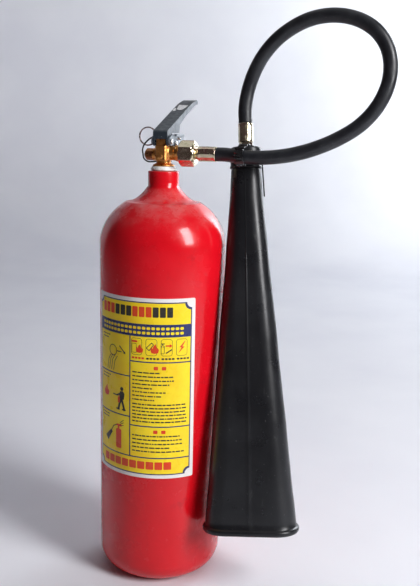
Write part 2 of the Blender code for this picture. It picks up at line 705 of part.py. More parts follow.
def make_horn(hose_set, horn_frame):
    length = (Vector(HORN_TOP) - Vector(HORN_MOUTH)).length
    wall = HORN_WALL
    shape = (
        (-5.0, 15.2, 12.6),
        (-COLLAR_HEIGHT - 0.4, 15.2, 12.6),
        (-COLLAR_HEIGHT - 0.5, 17.4, 14.8),
        (-60.0, 19.4, 16.2),
        (-length + 8.0, 54.6, 25.0),
        (-length + 6.6, 56.6, 27.0),
        (-length + 4.0, 57.8, 28.2),
        (-length + 1.6, 57.4, 27.8),
        (-length + 0.2, 56.0, 26.4),
    )
    outer = [stadium(w, d, z) for z, w, d in shape]
    inner_shape = ((-length + 0.2, 52.8, 23.2), (-60.0, 19.4 - wall, 16.2 - wall), (-5.0, 12.7, 10.1))
    inner = [stadium(w, d, z) for z, w, d in inner_shape]
    add("horn", tube_loft(outer + inner), black_plastic(), horn_frame, horn_frame["design"])

    wide, deep = COLLAR_HALF
    collar = [
        stadium(wide - 1.4, deep - 1.4, 0.0),
        stadium(wide, deep, -1.4),
        stadium(wide, deep, -COLLAR_HEIGHT),
    ]
    body = add("horn_collar", loft(collar), black_plastic(), horn_frame, horn_frame["design"])
    pocket = loft([stadium(15.5, 12.9, -4.7), stadium(15.5, 12.9, -COLLAR_HEIGHT - 10)])
    cut(body, add("collar_pocket", pocket, black_plastic(), horn_frame, horn_frame["design"]))
    hole = rod(5.3, -20, 10, 16)
    cut(body, add("collar_hole", hole, black_plastic(), horn_frame, horn_frame["design"]))
    tongue_rings = []
    for height, near, far in ((-10.0, wide - 2.0, wide + 1.0), (-58.0, wide + 2.0, wide + 3.6)):
        corners = ((near, 1.0), (far, 1.0), (far, 8.0), (near, 8.0))
        tongue_rings.append([(x, y, height) for x, y in corners])
    tongue = loft(tongue_rings)
    join(body, add("collar_tongue", tongue, black_plastic(), horn_frame, horn_frame["design"]))


def make_horn_fittings(horn_frame):
    """Ferrule, hexagon tail through the collar, the nozzle that clamps it, and the hose clip."""
    at = horn_frame["design"]
    low = CLIP_SHEET + 2 * GAP
    high = low + 3.4
    tail = add("horn_tail", hexagon(14.0, low, high), plated_steel(), horn_frame, at)
    stem = [(2.4, -15.0), (4.9, -15.0), (4.9, low + 1), (3.9, high - 1), (3.9, high + 18), (2.4, high + 18)]
    join(tail, add("horn_tail_stem", lathe(stem, 16), plated_steel(), horn_frame, at))
    cut(tail, add("horn_tail_bore", rod(2.3, -30, 40, 12), plated_steel(), horn_frame, at))
    start = high + GAP
    add("horn_ferrule", ferrule(start, start + FERRULE_LENGTH), plated_steel(), horn_frame, at)
    nozzle = hexagon(17.0, -13.5, -5.0)
    obj = add("discharge_nozzle", nozzle, brass(), horn_frame, at)
    cut(obj, add("nozzle_bore", rod(5.2, -30, 10, 16), brass(), horn_frame, at))


def make_clip(horn_frame):
    """Sheet hook: a ring under the tail's hexagon and a strap over the front of the hose."""
    at = horn_frame["design"]
    low = GAP
    high = GAP + CLIP_SHEET
    ring = ((5.4, low), (9.6, low), (9.6, high), (5.4, high))
    clip = add("hose_clip", lathe(ring, 24), black_rubber(), horn_frame, at)
    hose_y, hose_z = CLIP_HOSE
    inner = HOSE_RADIUS + 1.2
    outer = inner + 1.9
    bend = arc((hose_y, hose_z), outer, 66, 292, 12)
    back = arc((hose_y, hose_z), inner, 292, 78, 12)
    strap = [(-5.6, low), (-5.6, high), (-14.0, high + 0.4), (-18.0, high - 0.6)] + bend + back
    strap += [(-17.4, low - 1.6), (-16.0, low)]
    bm = plate(strap, -9.0, 1.5)
    turn = Matrix.Rotation(math.radians(CLIP_TURN), 3, "Z")
    bmesh.ops.rotate(bm, cent=(CLIP_MIDDLE, hose_y, 0), matrix=turn, verts=bm.verts)
    join(clip, add("clip_strap", bm, black_rubber(), horn_frame, at))


def main():
    clear_scene()
    root = empty("extinguisher", None, (0, 0, 0))
    root.location = Vector((*ORIGIN_SHIFT, 0)) * MM
    stem = empty("stem_axis", root, (0, 0, 0))
    lever = empty("lever_pivot", root, (0, *PIVOT))
    pin = empty("safety_pin_axis", root, (0, *SAFETY_PIN))
    ring = empty("ring_eye", pin, (EYE_X, *SAFETY_PIN))
    hose_set = empty("outlet_axis", root, (0, 0, OUTLET_HEIGHT))
    horn_frame = empty("horn_frame", hose_set, HORN_TOP)
    horn_frame.rotation_euler = horn_rotation()

    make_cylinder(root)
    make_label(root)
    make_thread_tape(root)
    make_valve_body(root)
    make_inner_valve(root, stem)
    make_burst_set(root)
    make_lever(lever)
    make_carry_handle(root)
    make_pins(root, pin, ring)
    make_union(root, hose_set)
    make_horn(hose_set, horn_frame)
    make_horn_fittings(horn_frame)
    make_clip(horn_frame)
    cord("hose", HOSE_ROUTE, HOSE_RADIUS, 16.0, 3, black_rubber(), hose_set)
    cord("seal_tether", TETHER_ROUTE, TETHER_RADIUS, 4.0, 2, black_rubber(), root)


main()
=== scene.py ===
"""Looks of a 5 kg carbon dioxide fire extinguisher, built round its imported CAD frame.

The working frame is the design frame of the part: millimetres, the cylinder's axis at x = y = 0, the
valve's outlet along +X, the lever along +Y and the label on the -Y side. place() turns it into the row
frame in metres.
"""

import json
import math
import random

import bmesh
import bpy
from mathutils import Matrix, Vector, noise

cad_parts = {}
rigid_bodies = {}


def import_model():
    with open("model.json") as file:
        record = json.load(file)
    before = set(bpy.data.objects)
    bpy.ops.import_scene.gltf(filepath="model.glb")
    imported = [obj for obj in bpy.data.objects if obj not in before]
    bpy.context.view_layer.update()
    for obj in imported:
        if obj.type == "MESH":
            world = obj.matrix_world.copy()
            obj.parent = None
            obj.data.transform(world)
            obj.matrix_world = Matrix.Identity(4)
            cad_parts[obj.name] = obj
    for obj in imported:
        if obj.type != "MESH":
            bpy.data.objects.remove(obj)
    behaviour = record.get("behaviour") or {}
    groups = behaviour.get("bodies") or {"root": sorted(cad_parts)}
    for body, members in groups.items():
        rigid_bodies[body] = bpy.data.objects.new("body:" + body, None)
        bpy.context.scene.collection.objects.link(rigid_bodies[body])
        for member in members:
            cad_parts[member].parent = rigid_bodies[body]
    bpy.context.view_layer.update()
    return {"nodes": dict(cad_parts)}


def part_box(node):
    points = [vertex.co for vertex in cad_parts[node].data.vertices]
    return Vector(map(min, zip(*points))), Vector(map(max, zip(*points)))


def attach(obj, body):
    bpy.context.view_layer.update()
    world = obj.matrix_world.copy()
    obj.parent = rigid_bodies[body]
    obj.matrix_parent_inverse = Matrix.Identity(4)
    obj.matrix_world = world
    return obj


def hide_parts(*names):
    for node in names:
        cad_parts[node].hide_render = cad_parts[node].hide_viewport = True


for leftover in list(bpy.data.objects):
    bpy.data.objects.remove(leftover, do_unlink=True)
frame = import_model()

MM = 0.001
STEM_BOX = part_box("valve_stem")
AXIS = (STEM_BOX[0] + STEM_BOX[1]) / 2

# Sizes in millimetres, as in the part.
CYLINDER_RADIUS = 76.0
NECK_RADIUS = 18.5
NECK_TOP = 499.5
LABEL_BOTTOM, LABEL_TOP = 141.5, 359.0
LABEL_FROM, LABEL_TO = math.radians(-142.5), math.radians(-39.0)
LABEL_WIDTH = CYLINDER_RADIUS * (LABEL_TO - LABEL_FROM)
LABEL_HEIGHT = LABEL_TOP - LABEL_BOTTOM
VIEW_TURN = math.radians(21.0)  # the camera stands this far round from the front
OUTLET_HEIGHT = 520.5
BURST_HEIGHT = 518.5
PIVOT = (-7.0, 534.0)
HANDLE_PIN = (8.5, 531.5)
SAFETY_PIN = (18.0, 537.3)
EYE_X = -17.2
RING_RADIUS = 10.7
RING_RISE = 2.2
HOSE_RADIUS = 8.1
TETHER_RADIUS = 0.9
FERRULE_RADIUS = 8.8
HORN_TOP = Vector((94.1, 23.3, 529.0))
HORN_MOUTH = Vector((131.4, -39.5, 79.0))
HORN_LENGTH = (HORN_TOP - HORN_MOUTH).length
HORN_TURN = math.radians(11.0)
COLLAR_HALF = (18.2, 15.4)

STANDING = "cylinder_and_valve"
LEVER = "lever"
HOSE_SET = "hose_and_horn"

HOSE_ROUTE = (
    (66.2, 0.0, 520.5),
    (76.0, 0.0, 520.5),
    (86.0, -2.0, 519.6),
    (98.0, -4.2, 518.6),
    (116.0, -4.2, 518.2),
    (138.0, -2.8, 519.8),
    (160.0, -1.4, 523.8),
    (183.0, 0.2, 531.0),
    (206.0, 2.2, 541.5),
    (228.0, 4.6, 556.0),
    (245.0, 7.2, 575.5),
    (255.0, 9.8, 598.0),
    (257.0, 12.2, 619.5),
    (252.0, 14.5, 639.5),
    (240.5, 16.5, 656.0),
    (224.0, 18.5, 667.5),
    (204.0, 20.8, 674.0),
    (183.0, 23.0, 675.3),
    (162.0, 25.5, 671.6),
    (142.0, 28.0, 662.8),
    (124.0, 30.2, 650.0),
    (109.5, 31.8, 633.5),
    (98.8, 32.6, 614.0),
    (92.4, 32.2, 593.5),
    (90.3, 29.7, 574.3),
    (91.74, 27.28, 557.42),
)
TETHER_ROUTE = (
    (-12.0, -4.0, 538.5),
    (-15.2, -4.2, 537.4),
    (-19.4, -4.3, 534.2),
    (-23.4, -4.1, 529.8),
    (-25.9, -3.2, 524.4),
    (-26.2, -1.2, 518.6),
    (-25.8, 1.6, 513.0),
    (-22.0, 5.2, 509.6),
    (-16.6, 7.8, 509.6),
    (-12.0, 9.0, 510.1),
    (-8.0, 10.0, 510.2),
    (-3.6, 10.4, 510.2),
    (0.4, 10.1, 510.2),
    (3.9, 9.1, 510.2),
    (6.5, 7.5, 510.2),
)


def place(point):
    """A design-frame point in millimetres as a row-frame point in metres."""
    x, y, z = point
    return Vector((AXIS.x + x * MM, AXIS.y + y * MM, z * MM))


# Camera

CAMERA_AT = (346.0, -901.5, 542.0)
CAMERA_FORWARD = Vector((-0.2955, 0.9356, -0.1932))
CAMERA_ROLL = math.radians(1.26)
CAMERA_LENS = 49.15  # millimetres on the 36 mm sensor


def make_camera():
    data = bpy.data.cameras.new("camera")
    data.lens = CAMERA_LENS
    data.sensor_width = 36.0
    data.clip_start = 0.01
    camera = bpy.data.objects.new("camera", data)
    bpy.context.scene.collection.objects.link(camera)
    forward = CAMERA_FORWARD.normalized()
    right = forward.cross(Vector((0, 0, 1))).normalized()
    up = right.cross(forward)
    tilted = right * math.cos(CAMERA_ROLL) + up * math.sin(CAMERA_ROLL)
    above = up * math.cos(CAMERA_ROLL) - right * math.sin(CAMERA_ROLL)
    turn = Matrix((tilted, above, -forward)).transposed().to_4x4()
    camera.matrix_world = Matrix.Translation(place(CAMERA_AT)) @ turn
    bpy.context.scene.camera = camera
    bpy.context.scene.view_settings.view_transform = "Standard"


# Materials


class Finish:
    """A Principled material, with short calls for the nodes that vary it over the surface."""

    def __init__(self, name, colour, roughness, metallic=0.0, fixed=()):
        self.material = bpy.data.materials.new(name)
        self.material.use_nodes = True
        self.tree = self.material.node_tree
        self.shader = self.tree.nodes["Principled BSDF"]
        self.set("Base Color", (*colour, 1.0))
        self.set("Roughness", roughness)
        self.set("Metallic", metallic)
        for socket, value in fixed:
            self.set(socket, value)
        self.normal = None
        self.coordinates = self.tree.nodes.new("ShaderNodeTexCoord").outputs["Object"]

    def set(self, socket, value):
        self.shader.inputs[socket].default_value = value

    def link(self, value, socket):
        """Links a socket, or sets a plain number or colour."""
        if isinstance(value, bpy.types.NodeSocket):
            self.tree.links.new(value, socket)
        elif isinstance(value, (tuple, list)) and len(value) == 3 and len(socket.default_value) == 4:
            socket.default_value = (*value, 1.0)
        else:
            socket.default_value = value

    def stretched(self, stretch):
        node = self.tree.nodes.new("ShaderNodeMapping")
        node.inputs["Scale"].default_value = stretch
        self.link(self.coordinates, node.inputs["Vector"])
        return node.outputs["Vector"]

    def noise(self, scale, detail=3.0, roughness=0.5, stretch=None, distortion=0.0):
        node = self.tree.nodes.new("ShaderNodeTexNoise")
        node.inputs["Scale"].default_value = scale
        node.inputs["Detail"].default_value = detail
        node.inputs["Roughness"].default_value = roughness
        node.inputs["Distortion"].default_value = distortion
        self.link(self.stretched(stretch) if stretch else self.coordinates, node.inputs["Vector"])
        return node.outputs["Fac"]

    def cells(self, scale):
        node = self.tree.nodes.new("ShaderNodeTexVoronoi")
        node.inputs["Scale"].default_value = scale
        self.link(self.coordinates, node.inputs["Vector"])
        return node.outputs["Distance"]

    def height(self):
        """The world normal's upward part, for dust that settles from above."""
        geometry = self.tree.nodes.new("ShaderNodeNewGeometry")
        parts = self.tree.nodes.new("ShaderNodeSeparateXYZ")
        self.link(geometry.outputs["Normal"], parts.inputs["Vector"])
        return parts.outputs["Z"]

    def spread(self, value, low, high, out_low=0.0, out_high=1.0):
        node = self.tree.nodes.new("ShaderNodeMapRange")
        node.interpolation_type = "SMOOTHSTEP"
        limits = {"From Min": low, "From Max": high, "To Min": out_low, "To Max": out_high}
        for socket, number in limits.items():
            node.inputs[socket].default_value = number
        self.link(value, node.inputs["Value"])
        return node.outputs["Result"]

    def combined(self, operation, first, second):
        node = self.tree.nodes.new("ShaderNodeMath")
        node.operation = operation
        self.link(first, node.inputs[0])
        self.link(second, node.inputs[1])
        return node.outputs["Value"]

    def times(self, first, second):
        return self.combined("MULTIPLY", first, second)

    def dust(self, lowest, scale, detail, least, most):
        """How much dust lies on the surface: in patches, and only where it faces up."""
        facing_up = self.spread(self.height(), lowest, 0.95)
        return self.times(facing_up, self.spread(self.noise(scale, detail, 0.7), 0.35, 0.75, least, most))

    def mix(self, factor, first, second):
        """Mixes two colours; inputs 6 and 7 and output 2 are the node's colour sockets."""
        node = self.tree.nodes.new("ShaderNodeMix")
        node.data_type = "RGBA"
        self.link(factor, node.inputs["Factor"])
        self.link(first, node.inputs[6])
        self.link(second, node.inputs[7])
        return node.outputs[2]

    def colour(self, socket):
        self.link(socket, self.shader.inputs["Base Color"])

    def rough(self, socket):
        self.link(socket, self.shader.inputs["Roughness"])

    def bump(self, height, distance, strength=1.0):
        """Adds relief of that depth in metres on top of the bumps so far."""
        node = self.tree.nodes.new("ShaderNodeBump")
        node.inputs["Distance"].default_value = distance
        node.inputs["Strength"].default_value = strength
        self.link(height, node.inputs["Height"])
        if self.normal:
            self.link(self.normal, node.inputs["Normal"])
        self.normal = node.outputs["Normal"]
        self.link(self.normal, self.shader.inputs["Normal"])


def coat(weight, roughness, specular=0.5):
    """Settings of a clear coat; 0.5 is the shader's own specular level."""
    return (("Coat Weight", weight), ("Coat Roughness", roughness), ("Specular IOR Level", specular))


def mottled(name, colour, roughness, metallic, tones, dull, relief, fixed=()):
    """A material with patches of colour, uneven roughness and fine relief.

    tones starts with the ground colour, and each tone after it is (noise, low, high, amount, colour). dull is
    (noise, lowest roughness, highest roughness), and each relief is (noise, depth in metres, strength).
    """
    f = Finish(name, colour, roughness, metallic, fixed)
    shown = tones[0]
    for pattern, low, high, amount, over in tones[1:]:
        shown = f.mix(f.spread(f.noise(*pattern), low, high, 0.0, amount), shown, over)
    f.colour(shown)
    pattern, lowest, highest = dull
    f.rough(f.spread(f.noise(*pattern), 0.3, 0.7, lowest, highest))
    for pattern, depth, strength in relief:
        f.bump(f.noise(*pattern), depth, strength)
    return f.material


def red_paint():
    """Glossy enamel over a drawn steel bottle: orange peel, slow waves, dust on top and small scuffs."""
    f = Finish("red_paint_gloss", (0.65, 0.004, 0.011), 0.3, 0.0, coat(0.3, 0.08, 0.3))
    red = f.mix(f.spread(f.noise(9.0, 4.0, 0.6), 0.3, 0.7), (0.60, 0.0035, 0.009), (0.70, 0.005, 0.014))
    grime = f.spread(f.noise(38.0, 6.0, 0.7), 0.56, 0.74, 0.0, 0.35)
    red = f.mix(grime, red, (0.30, 0.006, 0.012))
    speck = f.spread(f.noise(420.0, 2.0, 0.5), 0.73, 0.78, 0.0, 0.5)
    red = f.mix(speck, red, (0.72, 0.20, 0.18))
    settled = f.dust(0.35, 70.0, 6.0, 0.02, 0.30)
    red = f.mix(settled, red, (0.62, 0.40, 0.38))
    scratch = f.spread(f.noise(60.0, 5.0, 0.8, (6.0, 6.0, 0.35)), 0.70, 0.74, 0.0, 0.25)
    f.colour(f.mix(scratch, red, (0.75, 0.22, 0.22)))
    sheen = f.spread(f.noise(26.0, 5.0, 0.65), 0.3, 0.7, 0.17, 0.32)
    f.rough(f.combined("ADD", sheen, f.times(settled, 0.9)))
    f.bump(f.noise(14.0, 2.0), 0.0016, 0.35)
    f.bump(f.noise(620.0, 2.0, 0.45), 0.00006, 0.6)
    f.bump(f.noise(90.0, 4.0, 0.6), 0.00012, 0.5)
    return f.material


def printed(name, colour, darker, roughness=0.3):
    """Ink or film on the label: a little uneven, faintly dusty, with the film's soft ripples."""
    tones = (colour, ((22.0, 5.0, 0.6), 0.35, 0.75, 1.0, darker), ((900.0, 2.0), 0.45, 0.8, 0.18, darker))
    dull = ((60.0, 4.0), roughness - 0.06, roughness + 0.1)
    relief = (((24.0, 3.0), 0.0006, 0.3), ((700.0, 2.0), 0.00002, 0.4))
    return mottled(name, colour, roughness, 0.0, tones, dull, relief, coat(0.12, 0.18, 0.3))


def cast_brass():
    """Forged and tumbled brass: fine orange-gold grain with darker oxide in patches."""
    gold = ((90.0, 5.0, 0.6), 0.3, 0.7, 1.0, (0.84, 0.42, 0.13))
    stain = ((240.0, 5.0, 0.7), 0.55, 0.75, 0.55, (0.30, 0.11, 0.03))
    relief = (((1500.0, 3.0, 0.6), 0.00008, 0.7), ((260.0, 3.0), 0.00018, 0.5))
    tones = ((0.60, 0.23, 0.05), gold, stain)
    return mottled("cast_brass", (0.80, 0.42, 0.10), 0.34, 1.0, tones, ((160.0, 4.0), 0.24, 0.46), relief)


def dark_brass():
    """Turned brass that has gone brown, as on the burst plug."""
    tones = ((0.24, 0.085, 0.045), ((180.0, 5.0, 0.65), 0.3, 0.7, 1.0, (0.52, 0.24, 0.09)))
    relief = (((1300.0, 3.0), 0.00005, 0.6),)
    return mottled("tarnished_brass", (0.42, 0.18, 0.08), 0.36, 1.0, tones, ((300.0, 4.0), 0.26, 0.5), relief)


def zinc_plate():
    """Bright passivated zinc: pale gold with faint bands of green and rose, and fine turning lines."""
    gold = ((130.0, 3.0, 0.5), 0.35, 0.5, 1.0, (0.76, 0.68, 0.50))
    rose = ((130.0, 3.0, 0.5), 0.52, 0.66, 1.0, (0.72, 0.54, 0.42))
    stain = ((420.0, 5.0, 0.7), 0.58, 0.76, 0.5, (0.40, 0.34, 0.22))
    relief = (((60.0, 2.0, 0.5, (60.0, 1.0, 1.0)), 0.00002, 0.4), ((900.0, 3.0), 0.00003, 0.5))
    tones = ((0.60, 0.56, 0.37), gold, rose, stain)
    dull = ((220.0, 4.0), 0.12, 0.28)
    return mottled("yellow_zinc_plate", (0.82, 0.76, 0.58), 0.18, 1.0, tones, dull, relief)


def coated_steel(name, colour, pale, roughness):
    """Satin dip coating on pressed steel, rubbed paler in places."""
    f = Finish(name, colour, roughness, 0.15, coat(0.15, 0.3))
    rubbed = f.spread(f.noise(120.0, 6.0, 0.7), 0.48, 0.72, 0.0, 0.55)
    base = f.mix(rubbed, colour, pale)
    nick = f.spread(f.noise(520.0, 3.0, 0.6), 0.68, 0.74, 0.0, 0.7)
    dusty = f.dust(0.3, 200.0, 5.0, 0.05, 0.35)
    base = f.mix(dusty, base, (0.26, 0.29, 0.31))
    f.colour(f.mix(nick, base, (0.40, 0.40, 0.40)))
    f.rough(f.spread(f.noise(150.0, 4.0), 0.3, 0.7, roughness - 0.08, roughness + 0.12))
    f.bump(f.noise(1100.0, 3.0), 0.00004, 0.6)
    f.bump(f.noise(140.0, 3.0), 0.00012, 0.4)
    return f.material


def bright_steel():
    """Drawn steel rod and wire, a little brown in patches."""
    tones = ((0.66, 0.66, 0.66), ((340.0, 4.0, 0.6), 0.45, 0.75, 1.0, (0.36, 0.30, 0.26)))
    relief = (((1200.0, 2.0), 0.00003, 0.5),)
    return mottled("bright_steel", (0.60, 0.60, 0.60), 0.24, 1.0, tones, ((500.0, 3.0), 0.16, 0.36), relief)


def ring_wire():
    """The pull ring's coppery brown steel."""
    tones = ((0.22, 0.13, 0.13), ((260.0, 4.0, 0.6), 0.35, 0.7, 1.0, (0.50, 0.40, 0.38)))
    relief = (((1500.0, 2.0), 0.00003, 0.5),)
    return mottled("brown_steel_wire", (0.34, 0.24, 0.22), 0.28, 1.0, tones, ((420.0, 3.0), 0.2, 0.4), relief)


def horn_plastic():
    """Blow-moulded black polyethylene: satin, softly uneven, with long pale scuffs and some dust."""
    f = Finish("horn_plastic", (0.013, 0.0135, 0.015), 0.4, 0.0, (("Specular IOR Level", 0.42),))
    dull = f.spread(f.noise(16.0, 5.0, 0.6), 0.35, 0.75)
    black = f.mix(dull, (0.007, 0.0075, 0.009), (0.015, 0.016, 0.018))
    scuff = f.spread(f.noise(36.0, 7.0, 0.75, (2.4, 2.4, 0.5), 0.6), 0.60, 0.74, 0.0, 0.45)
    black = f.mix(scuff, black, (0.060, 0.060, 0.062))
    speck = f.spread(f.noise(380.0, 2.0), 0.70, 0.76, 0.0, 0.6)
    f.colour(f.mix(speck, black, (0.10, 0.10, 0.10)))
    sheen = f.spread(f.noise(30.0, 5.0, 0.6), 0.3, 0.7, 0.26, 0.37)
    f.rough(f.combined("ADD", sheen, f.times(scuff, 0.45)))
    f.bump(f.noise(20.0, 3.0), 0.0012, 0.35)
    f.bump(f.noise(420.0, 3.0, 0.55), 0.00008, 0.45)
    return f.material


def hose_rubber():
    """Smooth extruded rubber cover with fine dimples and a dusty bloom."""
    f = Finish("hose_rubber", (0.013, 0.015, 0.018), 0.42, 0.0, (("Specular IOR Level", 0.5),))
    bloom = f.spread(f.noise(42.0, 6.0, 0.65), 0.42, 0.74, 0.0, 0.6)
    black = f.mix(bloom, (0.009, 0.010, 0.013), (0.030, 0.033, 0.037))
    speck = f.spread(f.noise(520.0, 2.0), 0.70, 0.76, 0.0, 0.5)
    f.colour(f.mix(speck, black, (0.09, 0.09, 0.09)))
    f.rough(f.spread(f.noise(70.0, 5.0, 0.6), 0.3, 0.7, 0.32, 0.52))
    f.bump(f.cells(760.0), 0.00005, 0.5)
    f.bump(f.noise(110.0, 3.0), 0.00022, 0.45)
    return f.material


def gloss_black():
    """Soft shiny vinyl, as on the hose clip."""
    tones = ((0.009, 0.009, 0.010), ((200.0, 5.0), 0.4, 0.75, 1.0, (0.034, 0.034, 0.036)))
    dull = ((120.0, 5.0), 0.16, 0.38)
    relief = (((260.0, 4.0), 0.00022, 0.5),)
    black = (0.012, 0.012, 0.013)
    return mottled("gloss_black_vinyl", black, 0.22, 0.0, tones, dull, relief, coat(0.4, 0.12))


def tape_white():
    """Layered sealing tape: soft white with stretched fibres."""
    tones = ((0.90, 0.90, 0.88), ((300.0, 5.0, 0.7), 0.4, 0.75, 1.0, (0.66, 0.62, 0.56)))
    relief = (((420.0, 4.0, 0.7, (1.0, 1.0, 6.0)), 0.0003, 0.7),)
    return mottled("sealing_tape", (0.86, 0.86, 0.84), 0.55, 0.0, tones, ((600.0, 3.0), 0.45, 0.68), relief)


def paper():
    """What is left of a torn paper sticker."""
    tones = ((0.84, 0.85, 0.86), ((420.0, 5.0, 0.75), 0.46, 0.66, 1.0, (0.44, 0.45, 0.47)))
    relief = (((700.0, 4.0, 0.7), 0.0002, 0.7),)
    return mottled("torn_paper", (0.78, 0.79, 0.80), 0.6, 0.0, tones, ((500.0, 3.0), 0.45, 0.7), relief)


def plain_inner(name, colour, roughness, metallic):
    """Turned or moulded inner pieces: light mottling and fine tool marks."""
    darker = tuple(channel * 0.72 for channel in colour)
    tones = (colour, ((180.0, 4.0), 0.35, 0.7, 1.0, darker))
    dull = ((260.0, 3.0), roughness - 0.08, roughness + 0.1)
    return mottled(name, colour, roughness, metallic, tones, dull, (((900.0, 2.0), 0.00003, 0.5),))


# Mesh tools


def finish_piece(name, bm, materials, body, replaced=(), smooth=34.0):
    """Turns a bmesh in design millimetres into a piece in the row frame that rides on its body."""
    for vert in bm.verts:
        vert.co = place(vert.co)
    bmesh.ops.recalc_face_normals(bm, faces=bm.faces)
    return from_metres(name, bm, materials, body, replaced, smooth)


def from_metres(name, bm, materials, body, replaced=(), smooth=34.0):
    """Turns a bmesh that is already in the row frame into a piece that rides on its body."""
    mesh = bpy.data.meshes.new(name)
    bm.to_mesh(mesh)
    bm.free()
    mesh.shade_smooth()
    mesh.set_sharp_from_angle(angle=math.radians(smooth))
    return register(bpy.data.objects.new(name, mesh), materials, body, replaced)


def register(piece, materials, body, replaced=()):
    """Links a piece, gives it its materials and tells the frame what it is."""
    bpy.context.scene.collection.objects.link(piece)
    for made in materials if isinstance(materials, (list, tuple)) else [materials]:
        piece.data.materials.append(made)
    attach(piece, body)
    if replaced:
        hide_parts(*([replaced] if isinstance(replaced, str) else replaced))
    return piece


def soften(piece, width, segments=3, angle=32.0):
    """Rounds the sharp edges of a piece; the width is in millimetres."""
    step = piece.modifiers.new("soft_edges", "BEVEL")
    step.width = width * MM
    step.segments = segments
    step.limit_method = "ANGLE"
    step.angle_limit = math.radians(angle)
    step.harden_normals = True


def lathe(profile, steps=96, wobble=None):
    """Turns a closed (radius, height) profile round Z; wobble(angle, radius, height) may shift the radius."""
    bm = bmesh.new()
    rings = []
    for radius, height in profile:
        if radius == 0:
            rings.append([bm.verts.new((0, 0, height))])
            continue
        ring = []
        for i in range(steps):
            turn = 2 * math.pi * i / steps
            at = radius + (wobble(turn, radius, height) if wobble else 0.0)
            ring.append(bm.verts.new((at * math.cos(turn), at * math.sin(turn), height)))
        rings.append(ring)
    for first, second in zip(rings, rings[1:] + rings[:1]):
        if len(first) == 1 and len(second) == 1:
            continue
        for i in range(steps):
            j = (i + 1) % steps
            corners = [first[i % len(first)], first[j % len(first)]]
            corners += [second[j % len(second)], second[i % len(second)]]
            bm.faces.new(list(dict.fromkeys(corners)))
    return bm


def arc(centre, radius, start, end, count):
    """Points of a circular arc, angles in degrees."""
    points = []
    for i in range(count + 1):
        turn = math.radians(start + (end - start) * i / count)
        points.append((centre[0] + radius * math.cos(turn), centre[1] + radius * math.sin(turn)))
    return points


def loop_rings(rings, capped=False):
    """Joins equal rings of points in a closed cycle, or in a row whose two ends are capped."""
    bm = bmesh.new()
    made = [[bm.verts.new(point) for point in ring] for ring in rings]
    count = len(rings[0])
    following = made[1:] if capped else made[1:] + made[:1]
    for first, second in zip(made, following):
        for i in range(count):
            j = (i + 1) % count
            bm.faces.new((first[i], first[j], second[j], second[i]))
    if capped:
        bm.faces.new(made[0])
        bm.faces.new(list(reversed(made[-1])))
    return bm


def turned(name, profile, steps, matrix, materials, body, replaced=(), smooth=30.0):
    """A piece turned round local Z and then moved by the matrix."""
    bm = transformed(lathe(profile, steps), matrix)
    return finish_piece(name, bm, materials, body, replaced, smooth)


def capped_rings(rings):
    return loop_rings(rings, True)


def transformed(bm, matrix):
    bmesh.ops.transform(bm, matrix=matrix, verts=bm.verts)
    return bm


def along_x(at=(0, 0, 0), sign=1):
    """Turns +Z to +X, or to -X where the sign is -1, and moves to a point."""
    return Matrix.Translation(at) @ Matrix.Rotation(math.radians(90 * sign), 4, "Y")


def horn_matrix():
    """Local Z runs up the horn's axis, local X along the long side of its mouth."""
    up = (HORN_TOP - HORN_MOUTH).normalized()
    side = Vector((math.cos(HORN_TURN), math.sin(HORN_TURN), 0))
    side = (side - up * side.dot(up)).normalized()
    turn = Matrix((side, up.cross(side), up)).transposed().to_4x4()
    return Matrix.Translation(HORN_TOP) @ turn


HORN_FRAME = horn_matrix()


def smooth_route(points, spacing):
    """Evenly spaced points on the centripetal Catmull-Rom curve through the route."""
    route = [Vector(p) for p in points]
    route = [2 * route[0] - route[1]] + route + [2 * route[-1] - route[-2]]
    fine = []
    for a, b, c, d in zip(route, route[1:], route[2:], route[3:]):
        knots = [0.0]
        for first, second in ((a, b), (b, c), (c, d)):
            knots.append(knots[-1] + math.sqrt((second - first).length))
        for i in range(24):
            t = knots[1] + (knots[2] - knots[1]) * i / 24
            ab = between(a, b, knots[0], knots[1], t)
            bc = between(b, c, knots[1], knots[2], t)
            cd = between(c, d, knots[2], knots[3], t)
            abc = between(ab, bc, knots[0], knots[2], t)
            bcd = between(bc, cd, knots[1], knots[3], t)
            fine.append(between(abc, bcd, knots[1], knots[2], t))
    fine.append(route[-2])
    lengths = [0.0]
    for first, second in zip(fine, fine[1:]):
        lengths.append(lengths[-1] + (second - first).length)
    count = max(2, round(lengths[-1] / spacing))
    even = []
    step = 0
    for i in range(count + 1):
        wanted = lengths[-1] * i / count
        while step < len(fine) - 2 and lengths[step + 1] < wanted:
            step += 1
        share = (wanted - lengths[step]) / (lengths[step + 1] - lengths[step])
        even.append(fine[step].lerp(fine[step + 1], min(1.0, share)))
    return even


def between(first, second, low, high, t):
    return first + (second - first) * ((t - low) / (high - low))


def cord_curve(name, points, radius, resolution):
    curve = bpy.data.curves.new(name, "CURVE")
    curve.dimensions = "3D"
    curve.bevel_depth = radius * MM
    curve.bevel_resolution = resolution
    curve.use_fill_caps = True
    spline = curve.splines.new("POLY")
    spline.points.add(len(points) - 1)
    for slot, point in zip(spline.points, points):
        slot.co = (*place(point), 1.0)
    spline.use_smooth = True
    return bpy.data.objects.new(name, curve)


# Cords


def make_hose(rubber):
    points = smooth_route(HOSE_ROUTE, 3.0)
    hose = cord_curve("hose_cover", points, HOSE_RADIUS, 10)
    register(hose, rubber, HOSE_SET, "hose")


def make_tether(plastic):
    points = smooth_route(TETHER_ROUTE, 1.0)
    tether = cord_curve("pin_tether", points, TETHER_RADIUS, 5)
    register(tether, plastic, STANDING, "seal_tether")


# Cylinder and label


